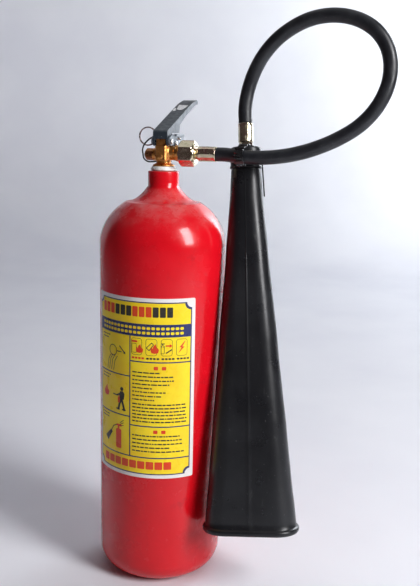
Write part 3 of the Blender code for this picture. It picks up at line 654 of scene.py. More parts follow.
def make_cylinder(paint):
    """Seamless steel bottle: domed base with a foot ring, straight wall, elliptic shoulder and neck ring."""
    wall = 4.5
    knuckle = 27.0
    rise = 63.0
    shoulder_bottom = 412.0
    start = math.acos(45.0 / CYLINDER_RADIUS)
    shoulder = []
    for i in range(41):
        turn = start * (1 - i / 40)
        shoulder.append((CYLINDER_RADIUS * math.cos(turn), shoulder_bottom + rise * math.sin(turn)))
    first = shoulder[0]
    root = []
    root_top = 481.5
    for i in range(13):
        share = i / 12
        ease = 1 - (1 - share) ** 2
        out = NECK_RADIUS + 0.1 + (first[0] - NECK_RADIUS) * share
        root.append((out, root_top + (first[1] - root_top) * ease))
    bore = 12.8
    profile = [(bore, NECK_TOP - 0.8), (bore + 0.6, NECK_TOP - 0.1)]
    profile += arc((NECK_RADIUS - 1.6, NECK_TOP - 1.6), 1.6, 90, 0, 6)
    profile += [(NECK_RADIUS, 494.0), (NECK_RADIUS, 487.0)] + root + shoulder[1:]
    profile += [(CYLINDER_RADIUS, shoulder_bottom - 16.0 * i) for i in range(1, 24)]
    profile += arc((CYLINDER_RADIUS - knuckle, knuckle), knuckle, 0, -90, 24)
    ring = 43.0
    dome = 14.0
    profile += [(ring * (1 - i / 16), dome * (1 - (1 - i / 16) ** 2)) for i in range(16)]
    profile += [(0, dome), (0, dome + wall)]
    profile += [(ring * s, dome * (1 - s * s) + wall) for s in (0.3, 0.6, 0.85)]
    profile += arc((CYLINDER_RADIUS - knuckle, knuckle), knuckle - wall, -90, 0, 10)
    profile += [(r - wall, z - 2.0) for r, z in reversed(shoulder[::5])]
    profile += [(bore + 3, 474.0), (bore, 477.0)]
    finish_piece("cylinder_shell", lathe(profile, 160), paint, STANDING, "cylinder", 50)


class Artwork:
    """Flat shapes of the label in (along, up) millimetres from its lower left corner, as thin prisms."""

    def __init__(self):
        self.bm = bmesh.new()

    def shape(self, outline, ink, layer):
        low, high = 0.10, 0.22 + 0.03 * layer
        rings = [[self.bm.verts.new((s, v, h)) for s, v in outline] for h in (low, high)]
        count = len(outline)
        faces = [self.bm.faces.new(list(reversed(rings[0]))), self.bm.faces.new(rings[1])]
        for i in range(count):
            j = (i + 1) % count
            faces.append(self.bm.faces.new((rings[0][i], rings[0][j], rings[1][j], rings[1][i])))
        for face in faces:
            face.material_index = ink

    def bar(self, left, bottom, width, height, ink, layer, radius=0.0):
        if radius:
            self.shape(rounded(left, bottom, width, height, radius), ink, layer)
            return
        right, top = left + width, bottom + height
        self.shape([(left, bottom), (right, bottom), (right, top), (left, top)], ink, layer)

    def disc(self, centre, radius, ink, layer, count=20):
        self.shape(arc(centre, radius, 0, 360 - 360 / count, count - 1), ink, layer)

    def frame(self, left, bottom, width, height, line, ink, layer, radius):
        """A rounded outline, drawn as a filled shape with the ground colour laid over its middle."""
        self.bar(left, bottom, width, height, ink, layer, radius)
        inner = max(0.3, radius - line)
        self.bar(left + line, bottom + line, width - 2 * line, height - 2 * line, YELLOW, layer + 1, inner)

    def stroke(self, points, width, ink, layer):
        """A line through points, one flat quad for each stretch."""
        for (x1, y1), (x2, y2) in zip(points, points[1:]):
            run = math.hypot(x2 - x1, y2 - y1)
            dx, dy = (x2 - x1) / run, (y2 - y1) / run
            nx, ny = -dy * width / 2, dx * width / 2
            x1, y1 = x1 - dx * width / 3, y1 - dy * width / 3
            x2, y2 = x2 + dx * width / 3, y2 + dy * width / 3
            quad = [(x1 - nx, y1 - ny), (x2 - nx, y2 - ny), (x2 + nx, y2 + ny), (x1 + nx, y1 + ny)]
            self.shape(quad, ink, layer)


def rounded(left, bottom, width, height, radius):
    right, top = left + width, bottom + height
    points = arc((right - radius, bottom + radius), radius, -90, 0, 5)
    points += arc((right - radius, top - radius), radius, 0, 90, 5)
    points += arc((left + radius, top - radius), radius, 90, 180, 5)
    points += arc((left + radius, bottom + radius), radius, 180, 270, 5)
    return points


def notched(inset, notch):
    """The label's inner panel: a rectangle whose corners are scooped out."""
    right, top = LABEL_WIDTH - inset, LABEL_HEIGHT - inset
    points = arc((right, inset), notch, 180, 90, 8)
    points += arc((right, top), notch, 270, 180, 8)
    points += arc((inset, top), notch, 0, -90, 8)
    points += arc((inset, inset), notch, 90, 0, 8)
    return points


WHITE, YELLOW, NAVY, RED, BLACK = range(5)

COLUMN = 58.4  # where the label's two columns meet, from its left edge
BAND_TOP, BAND_BOTTOM = 187.4, 172.4
CELLS = (172.4, 123.5, 74.2, 25.4)
PICTURE_BOTTOM = 142.4
NOTES_BOTTOM = 64.3
FOOT = 25.4


def wrap(bm):
    """Lays flat label artwork on the cylinder, after cutting it into narrow upright strips."""
    column = 2.0
    for i in range(1, int(LABEL_WIDTH / column) + 1):
        geometry = bm.verts[:] + bm.edges[:] + bm.faces[:]
        bmesh.ops.bisect_plane(bm, geom=geometry, plane_co=(i * column, 0, 0), plane_no=(1, 0, 0))
    for vert in bm.verts:
        along, up, height = vert.co
        turn = LABEL_FROM + along / CYLINDER_RADIUS
        radius = CYLINDER_RADIUS + height
        vert.co = (radius * math.cos(turn), radius * math.sin(turn), LABEL_BOTTOM + up)
    return bm


def writing(art, left, right, top, rows, pitch, height, ink, layer, seed, ragged=0.35):
    """Rows of short bars that stand for lines of small print."""
    draw = random.Random(seed)
    for row in range(rows):
        at = left
        stop = right - draw.random() * ragged * (right - left)
        bottom = top - height - row * pitch
        while at < stop - 1.5:
            width = min(1.6 + 5.5 * draw.random(), stop - at)
            art.bar(at, bottom, width, height, ink, layer)
            at += width + 0.9


def scaled(x, y, size, shares):
    """Points given as shares of a size, from (x, y)."""
    return [(x + px * size, y + py * size) for px, py in shares]


def flame(art, x, y, size, layer):
    outer = [(0.0, 0.0), (0.34, 0.08), (0.42, 0.40), (0.26, 0.62), (0.24, 0.44), (0.10, 0.98), (-0.14, 0.70)]
    outer += [(-0.16, 0.46), (-0.30, 0.66), (-0.40, 0.36), (-0.30, 0.08)]
    art.shape(scaled(x, y, size, outer), RED, layer)


def bottle(art, x, y, width, height, ink, layer):
    art.bar(x - width / 2, y, width, height * 0.78, ink, layer, width * 0.22)
    art.bar(x - width * 0.16, y + height * 0.76, width * 0.32, height * 0.14, ink, layer)
    art.bar(x - width * 0.40, y + height * 0.89, width * 0.95, height * 0.08, ink, layer)


def arrow(art, x, y, dx, dy, width, ink, layer):
    """A straight arrow from (x, y)."""
    run = math.hypot(dx, dy)
    ux, uy = dx / run, dy / run
    nx, ny = -uy, ux
    neck = run - 2.2 * width
    outline = []
    for along, side in ((0, -0.5), (neck, -0.5), (neck, -1.4), (run, 0), (neck, 1.4), (neck, 0.5), (0, 0.5)):
        outline.append((x + ux * along + nx * side * width, y + uy * along + ny * side * width))
    art.shape(outline, ink, layer)


def person(art, x, y, tall, layer):
    """A plain standing figure that leans back a little and holds a horn out to the left."""
    art.disc((x + 0.02 * tall, y + 0.90 * tall), 0.085 * tall, BLACK, layer)
    body = [(-0.10, 0.46), (0.13, 0.46), (0.16, 0.72), (0.08, 0.81), (-0.06, 0.80), (-0.12, 0.68)]
    art.shape(scaled(x, y, tall, body), BLACK, layer)
    for foot, knee in ((-0.16, -0.10), (0.15, 0.08)):
        leg = scaled(x, y, tall, ((0.0, 0.50), (knee, 0.26), (foot, 0.02)))
        art.stroke(leg, 0.105 * tall, BLACK, layer)
        art.bar(x + (foot - 0.12) * tall, y, 0.19 * tall, 0.06 * tall, BLACK, layer)
    art.stroke(scaled(x, y, tall, ((-0.02, 0.72), (-0.24, 0.60))), 0.07 * tall, BLACK, layer)
    art.stroke(scaled(x, y, tall, ((-0.24, 0.60), (-0.46, 0.61))), 0.05 * tall, BLACK, layer)
    bottle(art, x - 0.14 * tall, y + 0.30 * tall, 0.11 * tall, 0.30 * tall, RED, layer + 1)


def left_pictures(art, layer):
    """Three cells of the left column: pull the ring, aim the horn, press the lever."""
    left = 10.5
    for index, top in enumerate(CELLS[:3]):
        writing(art, left, left + 22.0, top - 3.4, 2, 3.6, 1.3, BLACK, layer, 40 + index, 0.5)
    top, bottom = CELLS[0], CELLS[1]
    middle = (top + bottom) / 2 - 4
    ring = arc((33.0, middle + 7), 6.4, 0, 360, 20)
    art.stroke(ring, 1.0, BLACK, layer)
    art.stroke([(39.4, middle + 7), (47.0, middle + 7)], 1.2, BLACK, layer)
    for finger in range(4):
        tip = 26.0 + 4.0 * finger
        knuckle = middle - 4.0 - abs(finger - 1.5)
        line = [(tip - 4.0, middle - 17.0), (tip - 1.6, knuckle), (tip + 2.4, knuckle + 6.0)]
        art.stroke(line, 0.9, BLACK, layer)
    arrow(art, 44.0, middle + 14.0, 9.0, -9.0, 1.3, BLACK, layer)
    person(art, 47.0, CELLS[2] + 5.5, 29.0, layer)
    flame(art, 19.0, CELLS[2] + 18.0, 14.0, layer)
    base = FOOT + 6.0
    bottle(art, 42.5, base, 8.6, 31.0, RED, layer)
    art.stroke([(40.0, base + 29.0), (34.0, base + 26.0), (27.0, base + 15.0)], 1.2, BLACK, layer)
    horn = [(29.0, base + 20.5), (32.0, base + 18.0), (23.0, base + 5.0), (17.5, base + 10.0)]
    art.shape(horn, BLACK, layer)
    for spray in range(3):
        art.stroke([(45.0, base + 28.0 + 2 * spray), (50.0, base + 30.0 + 3 * spray)], 0.8, BLACK, layer)


def right_pictures(art, layer):
    """Four small framed signs above the notes: what the extinguisher is used on."""
    step = (LABEL_WIDTH - 8.0 - COLUMN) / 4
    for index in range(4):
        left = COLUMN + 2.6 + step * index
        art.frame(left, PICTURE_BOTTOM + 8.0, step - 4.4, 20.0, 0.5, BLACK, layer, 3.0)
        centre = left + (step - 4.4) / 2
        bottom = PICTURE_BOTTOM + 10.5
        if index == 0:
            art.frame(centre - 6.0, bottom, 6.0, 11.0, 0.5, BLACK, layer + 2, 0.8)
            flame(art, centre + 3.6, bottom, 11.0, layer + 4)
            art.bar(centre - 6.0, bottom + 12.5, 7.0, 2.2, RED, layer + 4, 0.6)
        elif index == 1:
            can = [(-6.5, 6.5), (0.5, 13.5), (3.0, 10.5), (-2.5, 3.0)]
            art.shape(scaled(centre, bottom, 1.0, can), BLACK, layer + 2)
            hole = [(-5.2, 6.6), (0.4, 12.2), (1.8, 10.4), (-2.6, 4.4)]
            art.shape(scaled(centre, bottom, 1.0, hole), YELLOW, layer + 3)
            flame(art, centre + 3.8, bottom, 12.0, layer + 4)
        elif index == 2:
            bottle(art, centre - 4.6, bottom, 4.2, 13.0, BLACK, layer + 2)
            bottle(art, centre - 4.6, bottom + 0.6, 3.0, 9.6, YELLOW, layer + 3)
            arrow(art, centre - 1.2, bottom + 9.6, 8.0, 0.0, 1.6, RED, layer + 4)
            art.stroke([(centre - 0.5, bottom + 1.0), (centre + 5.6, bottom + 5.0)], 1.5, BLACK, layer + 2)
        else:
            bolt = [(3.6, 15.0), (-3.0, 7.6), (-0.4, 7.4), (-4.2, 0.4), (3.2, 8.2), (0.6, 8.4), (4.4, 15.0)]
            art.shape(scaled(centre, bottom, 1.0, bolt), RED, layer + 2)
        ink = RED if index == 0 else BLACK
        for word in range(4):
            art.bar(left + 0.8 + 4.0 * word, PICTURE_BOTTOM + 3.4, 3.0, 2.2, ink, layer, 0.4)


def even_blocks(art, left, right, bottom, height, count, inks, layer):
    """A row of equal blank blocks; the inks take turns in equal runs."""
    pitch = (right - left) / count
    for index in range(count):
        ink = inks[index * len(inks) // count]
        art.bar(left + pitch * index, bottom, pitch - 1.4, height, ink, layer, 1.1)


def title_blocks(art, layer):
    """Blank blocks: a tall row in the title band, two fine rows in the dark band and one in the foot band."""
    even_blocks(art, 13.0, LABEL_WIDTH - 26.0, 195.6, 12.0, 12, (RED, BLACK, RED, BLACK), layer)
    for bottom in (181.0, 175.4):
        even_blocks(art, 13.0, LABEL_WIDTH - 13.0, bottom, 3.2, 20, (YELLOW,), layer + 1)
    even_blocks(art, 16.0, LABEL_WIDTH - 26.0, 11.0, 9.6, 9, (RED,), layer)


def make_label(film, inks):
    """White film with a yellow panel in a navy frame, pictograms, blank blocks and lines of small print."""
    backing = Artwork()
    backing.shape(rounded(0, 0, LABEL_WIDTH, LABEL_HEIGHT, 2.2), WHITE, 0)
    for vert in backing.bm.verts:
        vert.co.z = 0.02 if vert.co.z < 0.15 else 0.22
    finish_piece("label_backing", wrap(backing.bm), film, STANDING, "label", 60)

    art = Artwork()
    art.shape(notched(4.3, 6.4), NAVY, 0.6)
    art.shape(notched(5.7, 7.4), YELLOW, 1.2)
    line = 1.5
    edge = 5.2
    width = LABEL_WIDTH - 2 * edge
    art.bar(edge, BAND_BOTTOM, width, BAND_TOP - BAND_BOTTOM, NAVY, 2)
    art.bar(COLUMN, FOOT, line, BAND_BOTTOM - FOOT, NAVY, 2)
    art.bar(edge, FOOT - line / 2, width, line, NAVY, 2)
    for height in CELLS[1:3]:
        art.bar(edge, height - line / 2, COLUMN - edge, line, NAVY, 2)
    for height in (PICTURE_BOTTOM, NOTES_BOTTOM):
        art.bar(COLUMN, height - line / 2, LABEL_WIDTH - edge - COLUMN, line, NAVY, 2)
    title_blocks(art, 3)
    left_pictures(art, 3)
    right_pictures(art, 3)
    left, right = COLUMN + 4.0, LABEL_WIDTH - 9.0
    middle = (left + right) / 2
    for heading in (PICTURE_BOTTOM - 9.0, NOTES_BOTTOM - 8.4):
        for offset in (-7.0, 2.4):
            art.bar(middle + offset, heading, 5.0, 4.2, RED, 3, 0.7)
    writing(art, left, right - 16, PICTURE_BOTTOM - 12.0, 8, 4.7, 1.5, BLACK, 3, 5, 0.55)
    writing(art, left, right, PICTURE_BOTTOM - 50.5, 6, 4.2, 1.6, BLACK, 3, 6, 0.04)
    writing(art, left, right, NOTES_BOTTOM - 11.0, 5, 4.8, 1.6, BLACK, 3, 7, 0.4)
    finish_piece("label_print", wrap(art.bm), [film] + inks, STANDING, (), 60)


# Valve


def make_thread_tape(tape):
    def ragged(turn, radius, height):
        if radius < 13.0:
            return 0.0
        spot = Vector((math.cos(turn) * 3.1, math.sin(turn) * 3.1, height * 0.6))
        return 0.45 * noise.noise(spot) + 0.2 * noise.noise(spot * 3.7)

    profile = [(12.4, 499.9), (14.4, 499.8), (15.1, 500.5), (15.3, 501.2), (14.7, 501.9), (14.8, 502.6)]
    profile += [(14.1, 503.3), (13.9, 504.0), (13.2, 504.7), (12.4, 504.9)]
    layers = lathe(profile, 120, ragged)
    finish_piece("thread_tape_wrap", layers, tape, STANDING, "thread_tape", 60)


def copied(node):
    """A CAD node's mesh in row-frame metres, with its split vertices joined and its flat faces made whole."""
    bm = bmesh.new()
    bm.from_mesh(frame["nodes"][node].data)
    bmesh.ops.remove_doubles(bm, verts=bm.verts, dist=2e-6)
    bmesh.ops.dissolve_limit(bm, angle_limit=math.radians(0.6), verts=bm.verts, edges=bm.edges)
    return bm


def merge(bm, other):
    """Adds a bmesh to another one in the same frame."""
    mesh = bpy.data.meshes.new("part")
    other.to_mesh(mesh)
    other.free()
    bm.from_mesh(mesh)
    bpy.data.meshes.remove(mesh)


def add_part(bm, other):
    """Adds a bmesh in design millimetres to one that is in row-frame metres."""
    for vert in other.verts:
        vert.co = place(vert.co)
    merge(bm, other)


def make_valve(brass):
    """The forging: the CAD shape with a raised blank pad, melted to a soft cast surface."""
    bm = copied("valve_body")
    pad = [(3.0 * math.cos(a), 2.3 * math.sin(a)) for a in [math.radians(15 * i) for i in range(24)]]
    steps = ((-11.0, 1.0), (-12.3, 1.0), (-12.7, 0.8))
    rings = [[(x * s, y, 516.5 + z * s) for x, z in pad] for y, s in steps]
    add_part(bm, capped_rings(rings))
    hollow = [(0, 0), (9.7, 0), (9.7, 1.6), (8.6, 2.2), (0, 2.2)]
    add_part(bm, transformed(lathe(hollow, 64), along_x((6.6, 0, OUTLET_HEIGHT))))
    root = [(0, 0), (9.2, 0), (7.6, 2.2), (0, 2.2)]
    add_part(bm, transformed(lathe(root, 64), along_x((-6.8, 0, BURST_HEIGHT), -1)))
    valve = from_metres("valve_forging", bm, brass, STANDING, "valve_body")
    remesh = valve.modifiers.new("melt", "REMESH")
    remesh.mode = "VOXEL"
    remesh.voxel_size = 0.00036
    remesh.use_smooth_shade = True
    smooth = valve.modifiers.new("tumbled", "SMOOTH")
    smooth.factor = 0.5
    smooth.iterations = 5


def hex_part(flats, low, high, chamfer, bore, ends=(True, True)):
    """A hexagonal prism with turned chamfers and a bore, along Z, made by clipping each corner ray."""
    corner = flats / math.sqrt(3)
    steps = 96
    rings = []
    heights = [low + (high - low) * i / 24 for i in range(25)]
    for height in heights:
        ring = []
        for i in range(steps):
            turn = 2 * math.pi * i / steps
            local = (turn + math.pi / 6) % (math.pi / 3) - math.pi / 6
            flat = flats / 2 / math.cos((turn % (math.pi / 3)) - math.pi / 6)
            reach = corner
            if ends[0]:
                reach = min(reach, flats / 2 - 0.2 + (height - low) / math.tan(math.radians(chamfer)))
            if ends[1]:
                reach = min(reach, flats / 2 - 0.2 + (high - height) / math.tan(math.radians(chamfer)))
            radius = min(flat, reach, corner - 0.18 * math.cos(local) ** 8)
            ring.append((radius * math.cos(turn), radius * math.sin(turn), height))
        rings.append(ring)
    for height in (high, low):
        turns = [2 * math.pi * i / steps for i in range(steps)]
        rings.append([(bore * math.cos(turn), bore * math.sin(turn), height) for turn in turns])
    return loop_rings(rings)


def make_union(zinc):
    """Union nut, then the hose tail's ribbed collar."""
    at = (0, 0, OUTLET_HEIGHT)
    nut = transformed(hex_part(27.0, 21.5, 39.5, 32.0, 10.1), along_x(at))
    finish_piece("union_nut", nut, zinc, STANDING, "swivel_nut", 24)
    lip = [(7.6, 36.9), (12.2, 36.9), (12.2, 39.9), (11.6, 40.5), (9.4, 40.5), (7.6, 39.6)]
    turned("union_nut_lip", lip, 96, along_x(at), zinc, STANDING)
    collar = [(2.4, 33.0), (9.2, 33.0), (9.2, 36.4), (7.1, 36.5)]
    for ridge in range(5):
        base = 37.0 + 1.4 * ridge
        collar += [(6.4, base), (7.2, base + 0.5), (7.2, base + 0.8), (6.4, base + 1.3)]
    collar += [(6.8, 44.0), (3.9, 44.0), (3.9, 62.0), (2.4, 62.0)]
    return turned("hose_tail_collar", collar, 72, along_x(at), zinc, HOSE_SET, "hose_tail")


def crimped(low, high):
    """A ferrule whose middle is pressed into eight long flats, with rolled ends."""
    flats = 8

    def pressed(turn, radius, height):
        if radius < FERRULE_RADIUS - 1.2:
            return 0.0
        share = min(height - low - 1.6, high - 1.6 - height) / 1.6
        depth = max(0.0, min(1.0, share))
        swing = abs((turn * flats / (2 * math.pi)) % 1.0 - 0.5) * 2
        return -0.34 * depth * (1 - swing**3)

    outer = FERRULE_RADIUS
    profile = [(4.2, low), (outer - 1.1, low)] + arc((outer - 0.8, low + 0.8), 0.8, -90, 0, 5)
    profile += [(outer, low + 1.4 + (high - low - 2.8) * i / 12) for i in range(13)]
    profile += arc((outer - 0.8, high - 0.8), 0.8, 0, 90, 5) + [(4.2, high)]
    return lathe(profile, 96, pressed)


def make_ferrules(zinc):
    low = 44.3
    piece = transformed(crimped(low, low + 21.4), along_x((0, 0, OUTLET_HEIGHT)))
    first = finish_piece("valve_end_ferrule", piece, zinc, HOSE_SET, "valve_ferrule", 20)
    tail = transformed(hex_part(14.0, 2.1, 5.5, 24.0, 2.4), HORN_FRAME)
    tail_piece = finish_piece("horn_end_tail", tail, zinc, HOSE_SET, "horn_tail", 24)
    piece = transformed(crimped(5.8, 27.8), HORN_FRAME)
    second = finish_piece("horn_end_ferrule", piece, zinc, HOSE_SET, "horn_ferrule", 20)
    return [first, tail_piece, second]


def make_burst_plug(brass):
    at = (0, 0, BURST_HEIGHT)
    plug = transformed(hex_part(12.4, 12.9, 21.6, 30.0, 1.7), along_x(at, -1))
    finish_piece("burst_plug_hexagon", plug, brass, STANDING, "burst_plug", 24)
    nose = [(1.6, 21.0), (4.6, 21.0), (4.6, 22.2), (3.9, 23.2), (1.6, 23.4)]
    turned("burst_plug_nose", nose, 64, along_x(at, -1), brass, STANDING)
    shank = [(1.6, 8.6), (4.7, 8.6), (4.7, 12.6), (6.6, 12.7), (6.6, 13.2), (1.6, 13.2)]
    turned("burst_plug_shank", shank, 64, along_x(at, -1), brass, STANDING)


# Lever, handle and pins


def lever_top(y):
    """Height of the lever's upper face: a ramp from its heel that flattens towards the tip."""
    heel_y, heel_height, slope = -13.0, 546.0, 0.407
    flatten = max(0.0, y - 62.0)
    return heel_height + slope * (y - heel_y) - 0.0036 * flatten * flatten


def make_lever(steel, sticker_paper):
    lever = from_metres("squeeze_lever", copied("press_lever"), steel, LEVER, "press_lever", 40)
    soften(lever, 0.55)
    scraps = (
        ("sticker_scrap", "lever_sticker",
         ((-3.6, 53.0), (-1.0, 51.0), (3.0, 51.2), (4.8, 56.0), (6.8, 65.4), (-5.8, 67.6), (-5.0, 60.0))),
        ("sticker_shred", (),
         ((-7.8, 48.5), (-4.6, 47.8), (-4.0, 51.0), (-6.0, 52.4), (-5.6, 55.6), (-7.6, 56.8))),
    )
    draw = random.Random(11)
    for name, replaced, outline in scraps:
        torn = []
        for (x1, y1), (x2, y2) in zip(outline, outline[1:] + outline[:1]):
            for i in range(8):
                share = i / 8
                jitter = 0.28 if i else 0.0
                torn.append((x1 + (x2 - x1) * share + draw.uniform(-jitter, jitter),
                             y1 + (y2 - y1) * share + draw.uniform(-jitter, jitter)))
        rings = []
        for lift in (0.04, 0.24):
            rings.append([(x, y, lever_top(y) + lift * 1.1) for x, y in torn])
        finish_piece(name, capped_rings(rings), sticker_paper, LEVER, replaced, 30)


def make_handle(steel):
    bm = copied("carry_handle")
    handle = from_metres("grip_handle", bm, steel, STANDING, "carry_handle", 40)
    soften(handle, 0.55)


def make_pins(steel, brown):
    """Headed pins, the safety pin with its eye, and the split ring on it."""
    end = 13.2
    for name, node, (y, z) in (
        ("lever_pivot_pin", "pivot_pin", PIVOT),
        ("handle_fixing_pin", "handle_pin", HANDLE_PIN),
    ):
        profile = [(0, -end), (1.2, -end + 0.05), (1.7, -end + 0.3), (2.0, -end + 0.8), (2.0, end - 1.2)]
        profile += [(2.9, end - 1.2), (3.15, end - 0.9), (3.1, end - 0.3)]
        profile += [(2.6, end + 0.2), (1.4, end + 0.4), (0, end + 0.4)]
        turned(name, profile, 48, along_x((0, y, z)), steel, STANDING, node, 40)
    y, z = SAFETY_PIN
    profile = [(0, EYE_X + 2.4), (1.4, EYE_X + 2.4), (1.4, 13.2), (1.1, 14.1), (0.6, 14.5), (0, 14.6)]
    bm = transformed(lathe(profile, 40), along_x((0, y, z)))
    turns = [math.radians(30 * i) for i in range(12)]
    eye = lathe([(2.4 + 0.85 * math.cos(a), 1.15 * math.sin(a)) for a in turns], 48)
    merge(bm, transformed(eye, Matrix.Translation((EYE_X, y, z))))
    finish_piece("locking_pin", bm, steel, "pin", "safety_pin", 40)

    turns = 1.9
    centre = (EYE_X - math.sqrt(RING_RADIUS**2 - RING_RISE**2), y, z + RING_RISE)
    points = []
    for i in range(97):
        share = i / 96
        turn = math.radians(150) + 2 * math.pi * turns * share
        points.append((centre[0] + RING_RADIUS * math.cos(turn), y - 0.8 + 1.6 * share,
                       centre[2] + RING_RADIUS * math.sin(turn)))
    ring = cord_curve("split_ring", points, 0.8, 4)
    register(ring, brown, "ring", "pull_ring")


# Horn


def oval(half_width, half_depth, height, steps=30, seam=0.0):
    """A flat-sided oval with round ends; the seam stands out of the middle of both flat sides."""
    straight = half_width - half_depth
    points = []
    for centre, start in ((straight, -90), (-straight, 90)):
        for x, y in arc((centre, 0), half_depth, start, start + 180, steps):
            points.append((x, y, height))
        side = 1 if start == -90 else -1
        for share in (0.8, 0.6, 0.4, 0.2, 0.07, 0.03, 0.0, -0.03, -0.07, -0.2, -0.4, -0.6, -0.8):
            x = side * share * max(straight, 2.0)
            lift = seam if abs(share) < 0.04 else 0.0
            points.append((x, side * (half_depth + lift), height))
    return points


def make_horn(plastic):
    """Blow-moulded horn: thin wall, mould seams front and back, faint waves and a rolled rim at the mouth."""
    length = HORN_LENGTH
    outer = [(-5.0, 15.2, 12.6, 0.0), (-25.4, 15.2, 12.6, 0.0)]
    outer += [(-25.9, 17.2, 14.6, 0.0), (-27.5, 17.6, 14.9, 0.3)]
    steps = 56
    for i in range(steps + 1):
        share = i / steps
        height = -60.0 - (length - 68.0) * share
        wave = 0.22 * math.sin(share * 21.0) + 0.12 * math.sin(share * 47.0 + 1.0)
        outer.append((height, 19.4 + 35.2 * share + wave, 16.2 + 8.8 * share + 0.6 * wave, 0.38))
    rim = [(-length + 7.4, 55.2, 25.6), (-length + 6.8, 56.8, 27.2), (-length + 5.6, 57.7, 28.1)]
    rim += [(-length + 3.6, 57.9, 28.3), (-length + 1.8, 57.5, 27.9), (-length + 0.6, 56.6, 27.0)]
    rim += [(-length + 0.2, 55.2, 25.6)]
    outer += [(z, w, d, 0.2) for z, w, d in rim]
    rings = [oval(w, d, z, 30, s) for z, w, d, s in outer]
    inner = [(-length + 0.3, 53.2, 23.6), (-length + 1.2, 52.6, 23.0)]
    for i in range(20):
        share = 1 - i / 19
        inner.append((-60.0 - (length - 64.0) * share, 16.9 + 35.5 * share, 13.7 + 9.2 * share))
    inner.append((-5.0, 12.7, 10.1))
    rings += [oval(w, d, z, 30) for z, w, d in inner]
    shell = transformed(loop_rings(rings), HORN_FRAME)
    finish_piece("horn_shell", shell, plastic, HOSE_SET, "horn", 50)


def make_collar(plastic):
    """Soft cap over the horn's top, with its hole, rolled lower lip and side strip."""
    wide, deep = COLLAR_HALF
    outer = []
    for x, z in arc((-3.0, -3.0), 3.0, 90, 0, 8):
        outer.append((wide + x, deep + x, z))
    outer += [(wide, deep, -8.0), (wide + 0.1, deep + 0.1, -16.0), (wide + 0.1, deep + 0.1, -21.6)]
    outer += [(wide + 0.7, deep + 0.7, -22.4), (wide + 0.9, deep + 0.9, -23.6)]
    outer.append((wide + 0.6, deep + 0.6, -24.8))
    rings = [oval(5.3, 5.3, 0.0)] + [oval(w, d, z) for w, d, z in outer]
    rings += [oval(15.6, 13.0, -24.9), oval(15.5, 12.9, -4.7), oval(5.3, 5.3, -4.6)]
    cap = transformed(loop_rings(rings), HORN_FRAME)
    finish_piece("horn_cap", cap, plastic, HOSE_SET, "horn_collar", 45)

    rings = []
    sections = ((-10.0, -1.2, 1.2, 0.8), (-30.0, 0.6, 2.2, 0.0), (-46.0, 1.5, 3.1, 0.0),
                (-57.0, 2.1, 3.7, 0.0), (-58.0, 2.5, 3.3, 0.8))
    for height, near, far, trim in sections:
        near, far = wide + near, wide + far
        corners = ((near, 1.0 + trim), (far, 1.0 + trim), (far, 8.0 - trim), (near, 8.0 - trim))
        rings.append([(x, y, height) for x, y in corners])
    strip = transformed(capped_rings(rings), HORN_FRAME)
    soften(finish_piece("cap_strip", strip, plastic, HOSE_SET, (), 40), 0.5)


def make_clip(vinyl):
    clip = from_metres("hose_hook", copied("hose_clip"), vinyl, HOSE_SET, "hose_clip", 40)
    soften(clip, 0.45)


# Inner pieces that keep their CAD shape


def finish_inner_nodes():
    steel = plain_inner("inner_steel", (0.58, 0.58, 0.60), 0.3, 1.0)
    brass = plain_inner("inner_brass", (0.72, 0.42, 0.16), 0.34, 1.0)
    white = plain_inner("inner_white", (0.80, 0.80, 0.76), 0.5, 0.0)
    pale = plain_inner("inner_aluminium", (0.68, 0.69, 0.71), 0.34, 1.0)
    black = plain_inner("inner_rubber", (0.02, 0.02, 0.022), 0.5, 0.0)
    kept = (
        ("valve_stem", steel),
        ("stem_spring", steel),
        ("spring_retainer", brass),
        ("discharge_nozzle", brass),
        ("seat_seal", white),
        ("burst_washer", white),
        ("outlet_washer", white),
        ("burst_disc", pale),
        ("dip_tube", pale),
        ("stem_o_ring", black),
    )
    for node, made in kept:
        obj = frame["nodes"][node]
        obj.data.materials.clear()
        obj.data.materials.append(made)


# Stage and light


def make_stage():
    """A pale floor that curves up into a wall behind the object."""
    floor = Finish("floor_white", (0.80, 0.81, 0.85), 0.55)
    patches = floor.spread(floor.noise(3.0, 3.0), 0.3, 0.7)
    floor.colour(floor.mix(patches, (0.80, 0.81, 0.85), (0.75, 0.76, 0.81)))
    bend_from, bend, wall_top = 2300, 800, 2600
    cut = 1700  # the wall stands only beyond this distance from the object
    wall = [(0, 0), (900, 0)] + arc((bend_from, bend), bend, -90, 0, 12) + [(bend_from + bend, wall_top)]
    bm = lathe(wall + [(0, wall_top)], 96)
    backward = Vector((-math.sin(VIEW_TURN), math.cos(VIEW_TURN), 0))
    everything = bm.verts[:] + bm.edges[:] + bm.faces[:]
    bmesh.ops.bisect_plane(bm, geom=everything, plane_co=backward * cut, plane_no=backward)
    extra = []
    for face in bm.faces:
        middle = face.calc_center_median()
        lid = all(vert.co.z > wall_top - 1 for vert in face.verts)
        if lid or (middle.z > 1.0 and middle.dot(backward) < cut):
            extra.append(face)
    bmesh.ops.delete(bm, geom=extra, context="FACES")
    for vert in bm.verts:
        vert.co = place(vert.co)
    mesh = bpy.data.meshes.new("cove")
    bm.to_mesh(mesh)
    bm.free()
    mesh.shade_smooth()
    mesh.materials.append(floor.material)
    cove = bpy.data.objects.new("cove", mesh)
    bpy.context.scene.collection.objects.link(cove)


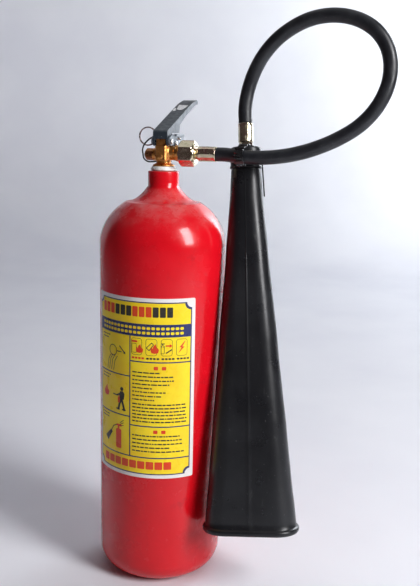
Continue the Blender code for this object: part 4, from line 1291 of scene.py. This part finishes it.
def area_light(name, side, away, height, size, power, colour, target=(60, 0, 300)):
    """A soft box placed as seen from the camera: to the side, away from it, and above the floor, in mm."""
    x = side * math.cos(VIEW_TURN) - away * math.sin(VIEW_TURN)
    y = side * math.sin(VIEW_TURN) + away * math.cos(VIEW_TURN)
    data = bpy.data.lights.new(name, "AREA")
    data.shape = "RECTANGLE"
    data.size, data.size_y = size
    data.energy = power
    data.color = colour
    lamp = bpy.data.objects.new(name, data)
    bpy.context.scene.collection.objects.link(lamp)
    lamp.location = place((x, y, height))
    aim = place(target) - lamp.location
    lamp.rotation_mode = "QUATERNION"
    lamp.rotation_quaternion = aim.to_track_quat("-Z", "Y")
    lamp.visible_camera = False


def make_light():
    world = bpy.data.worlds.new("studio_air")
    bpy.context.scene.world = world
    world.use_nodes = True
    sky = world.node_tree.nodes["Background"]
    sky.inputs["Color"].default_value = (1.0, 0.76, 0.84, 1.0)
    sky.inputs["Strength"].default_value = 0.06
    area_light("window", 1390, -1230, 1350, (0.6, 1.4), 53, (0.98, 0.98, 1.0))
    area_light("overhead", 80, 450, 2000, (1.6, 1.6), 4.5, (0.97, 0.99, 1.0))
    area_light("wall_wash", 2000, 1500, 1500, (1.0, 1.4), 108, (0.95, 0.99, 1.0), (1300, 3000, 1650))


def main():
    make_camera()
    zinc = zinc_plate()
    plastic = horn_plastic()
    steel = bright_steel()
    fittings = [make_union(zinc)] + make_ferrules(zinc)
    make_hose(hose_rubber())
    make_tether(plain_inner("tether_black", (0.014, 0.015, 0.018), 0.34, 0.0))

    make_cylinder(red_paint())
    inks = [
        printed("ink_yellow", (0.97, 0.75, 0.018), (0.92, 0.60, 0.012)),
        printed("ink_navy", (0.018, 0.026, 0.13), (0.026, 0.035, 0.11)),
        printed("ink_red", (0.74, 0.050, 0.012), (0.66, 0.080, 0.020)),
        printed("ink_black", (0.022, 0.020, 0.020), (0.05, 0.045, 0.03)),
    ]
    make_label(printed("film_white", (0.84, 0.82, 0.80), (0.76, 0.70, 0.66)), inks)
    make_thread_tape(tape_white())
    make_valve(cast_brass())
    make_burst_plug(dark_brass())
    make_lever(coated_steel("lever_coating", (0.024, 0.036, 0.048), (0.065, 0.080, 0.095), 0.42), paper())
    make_handle(coated_steel("handle_coating", (0.13, 0.155, 0.18), (0.20, 0.225, 0.25), 0.40))
    make_pins(steel, ring_wire())
    make_horn(plastic)
    make_collar(plastic)
    make_clip(gloss_black())
    finish_inner_nodes()
    make_stage()
    make_light()


main()
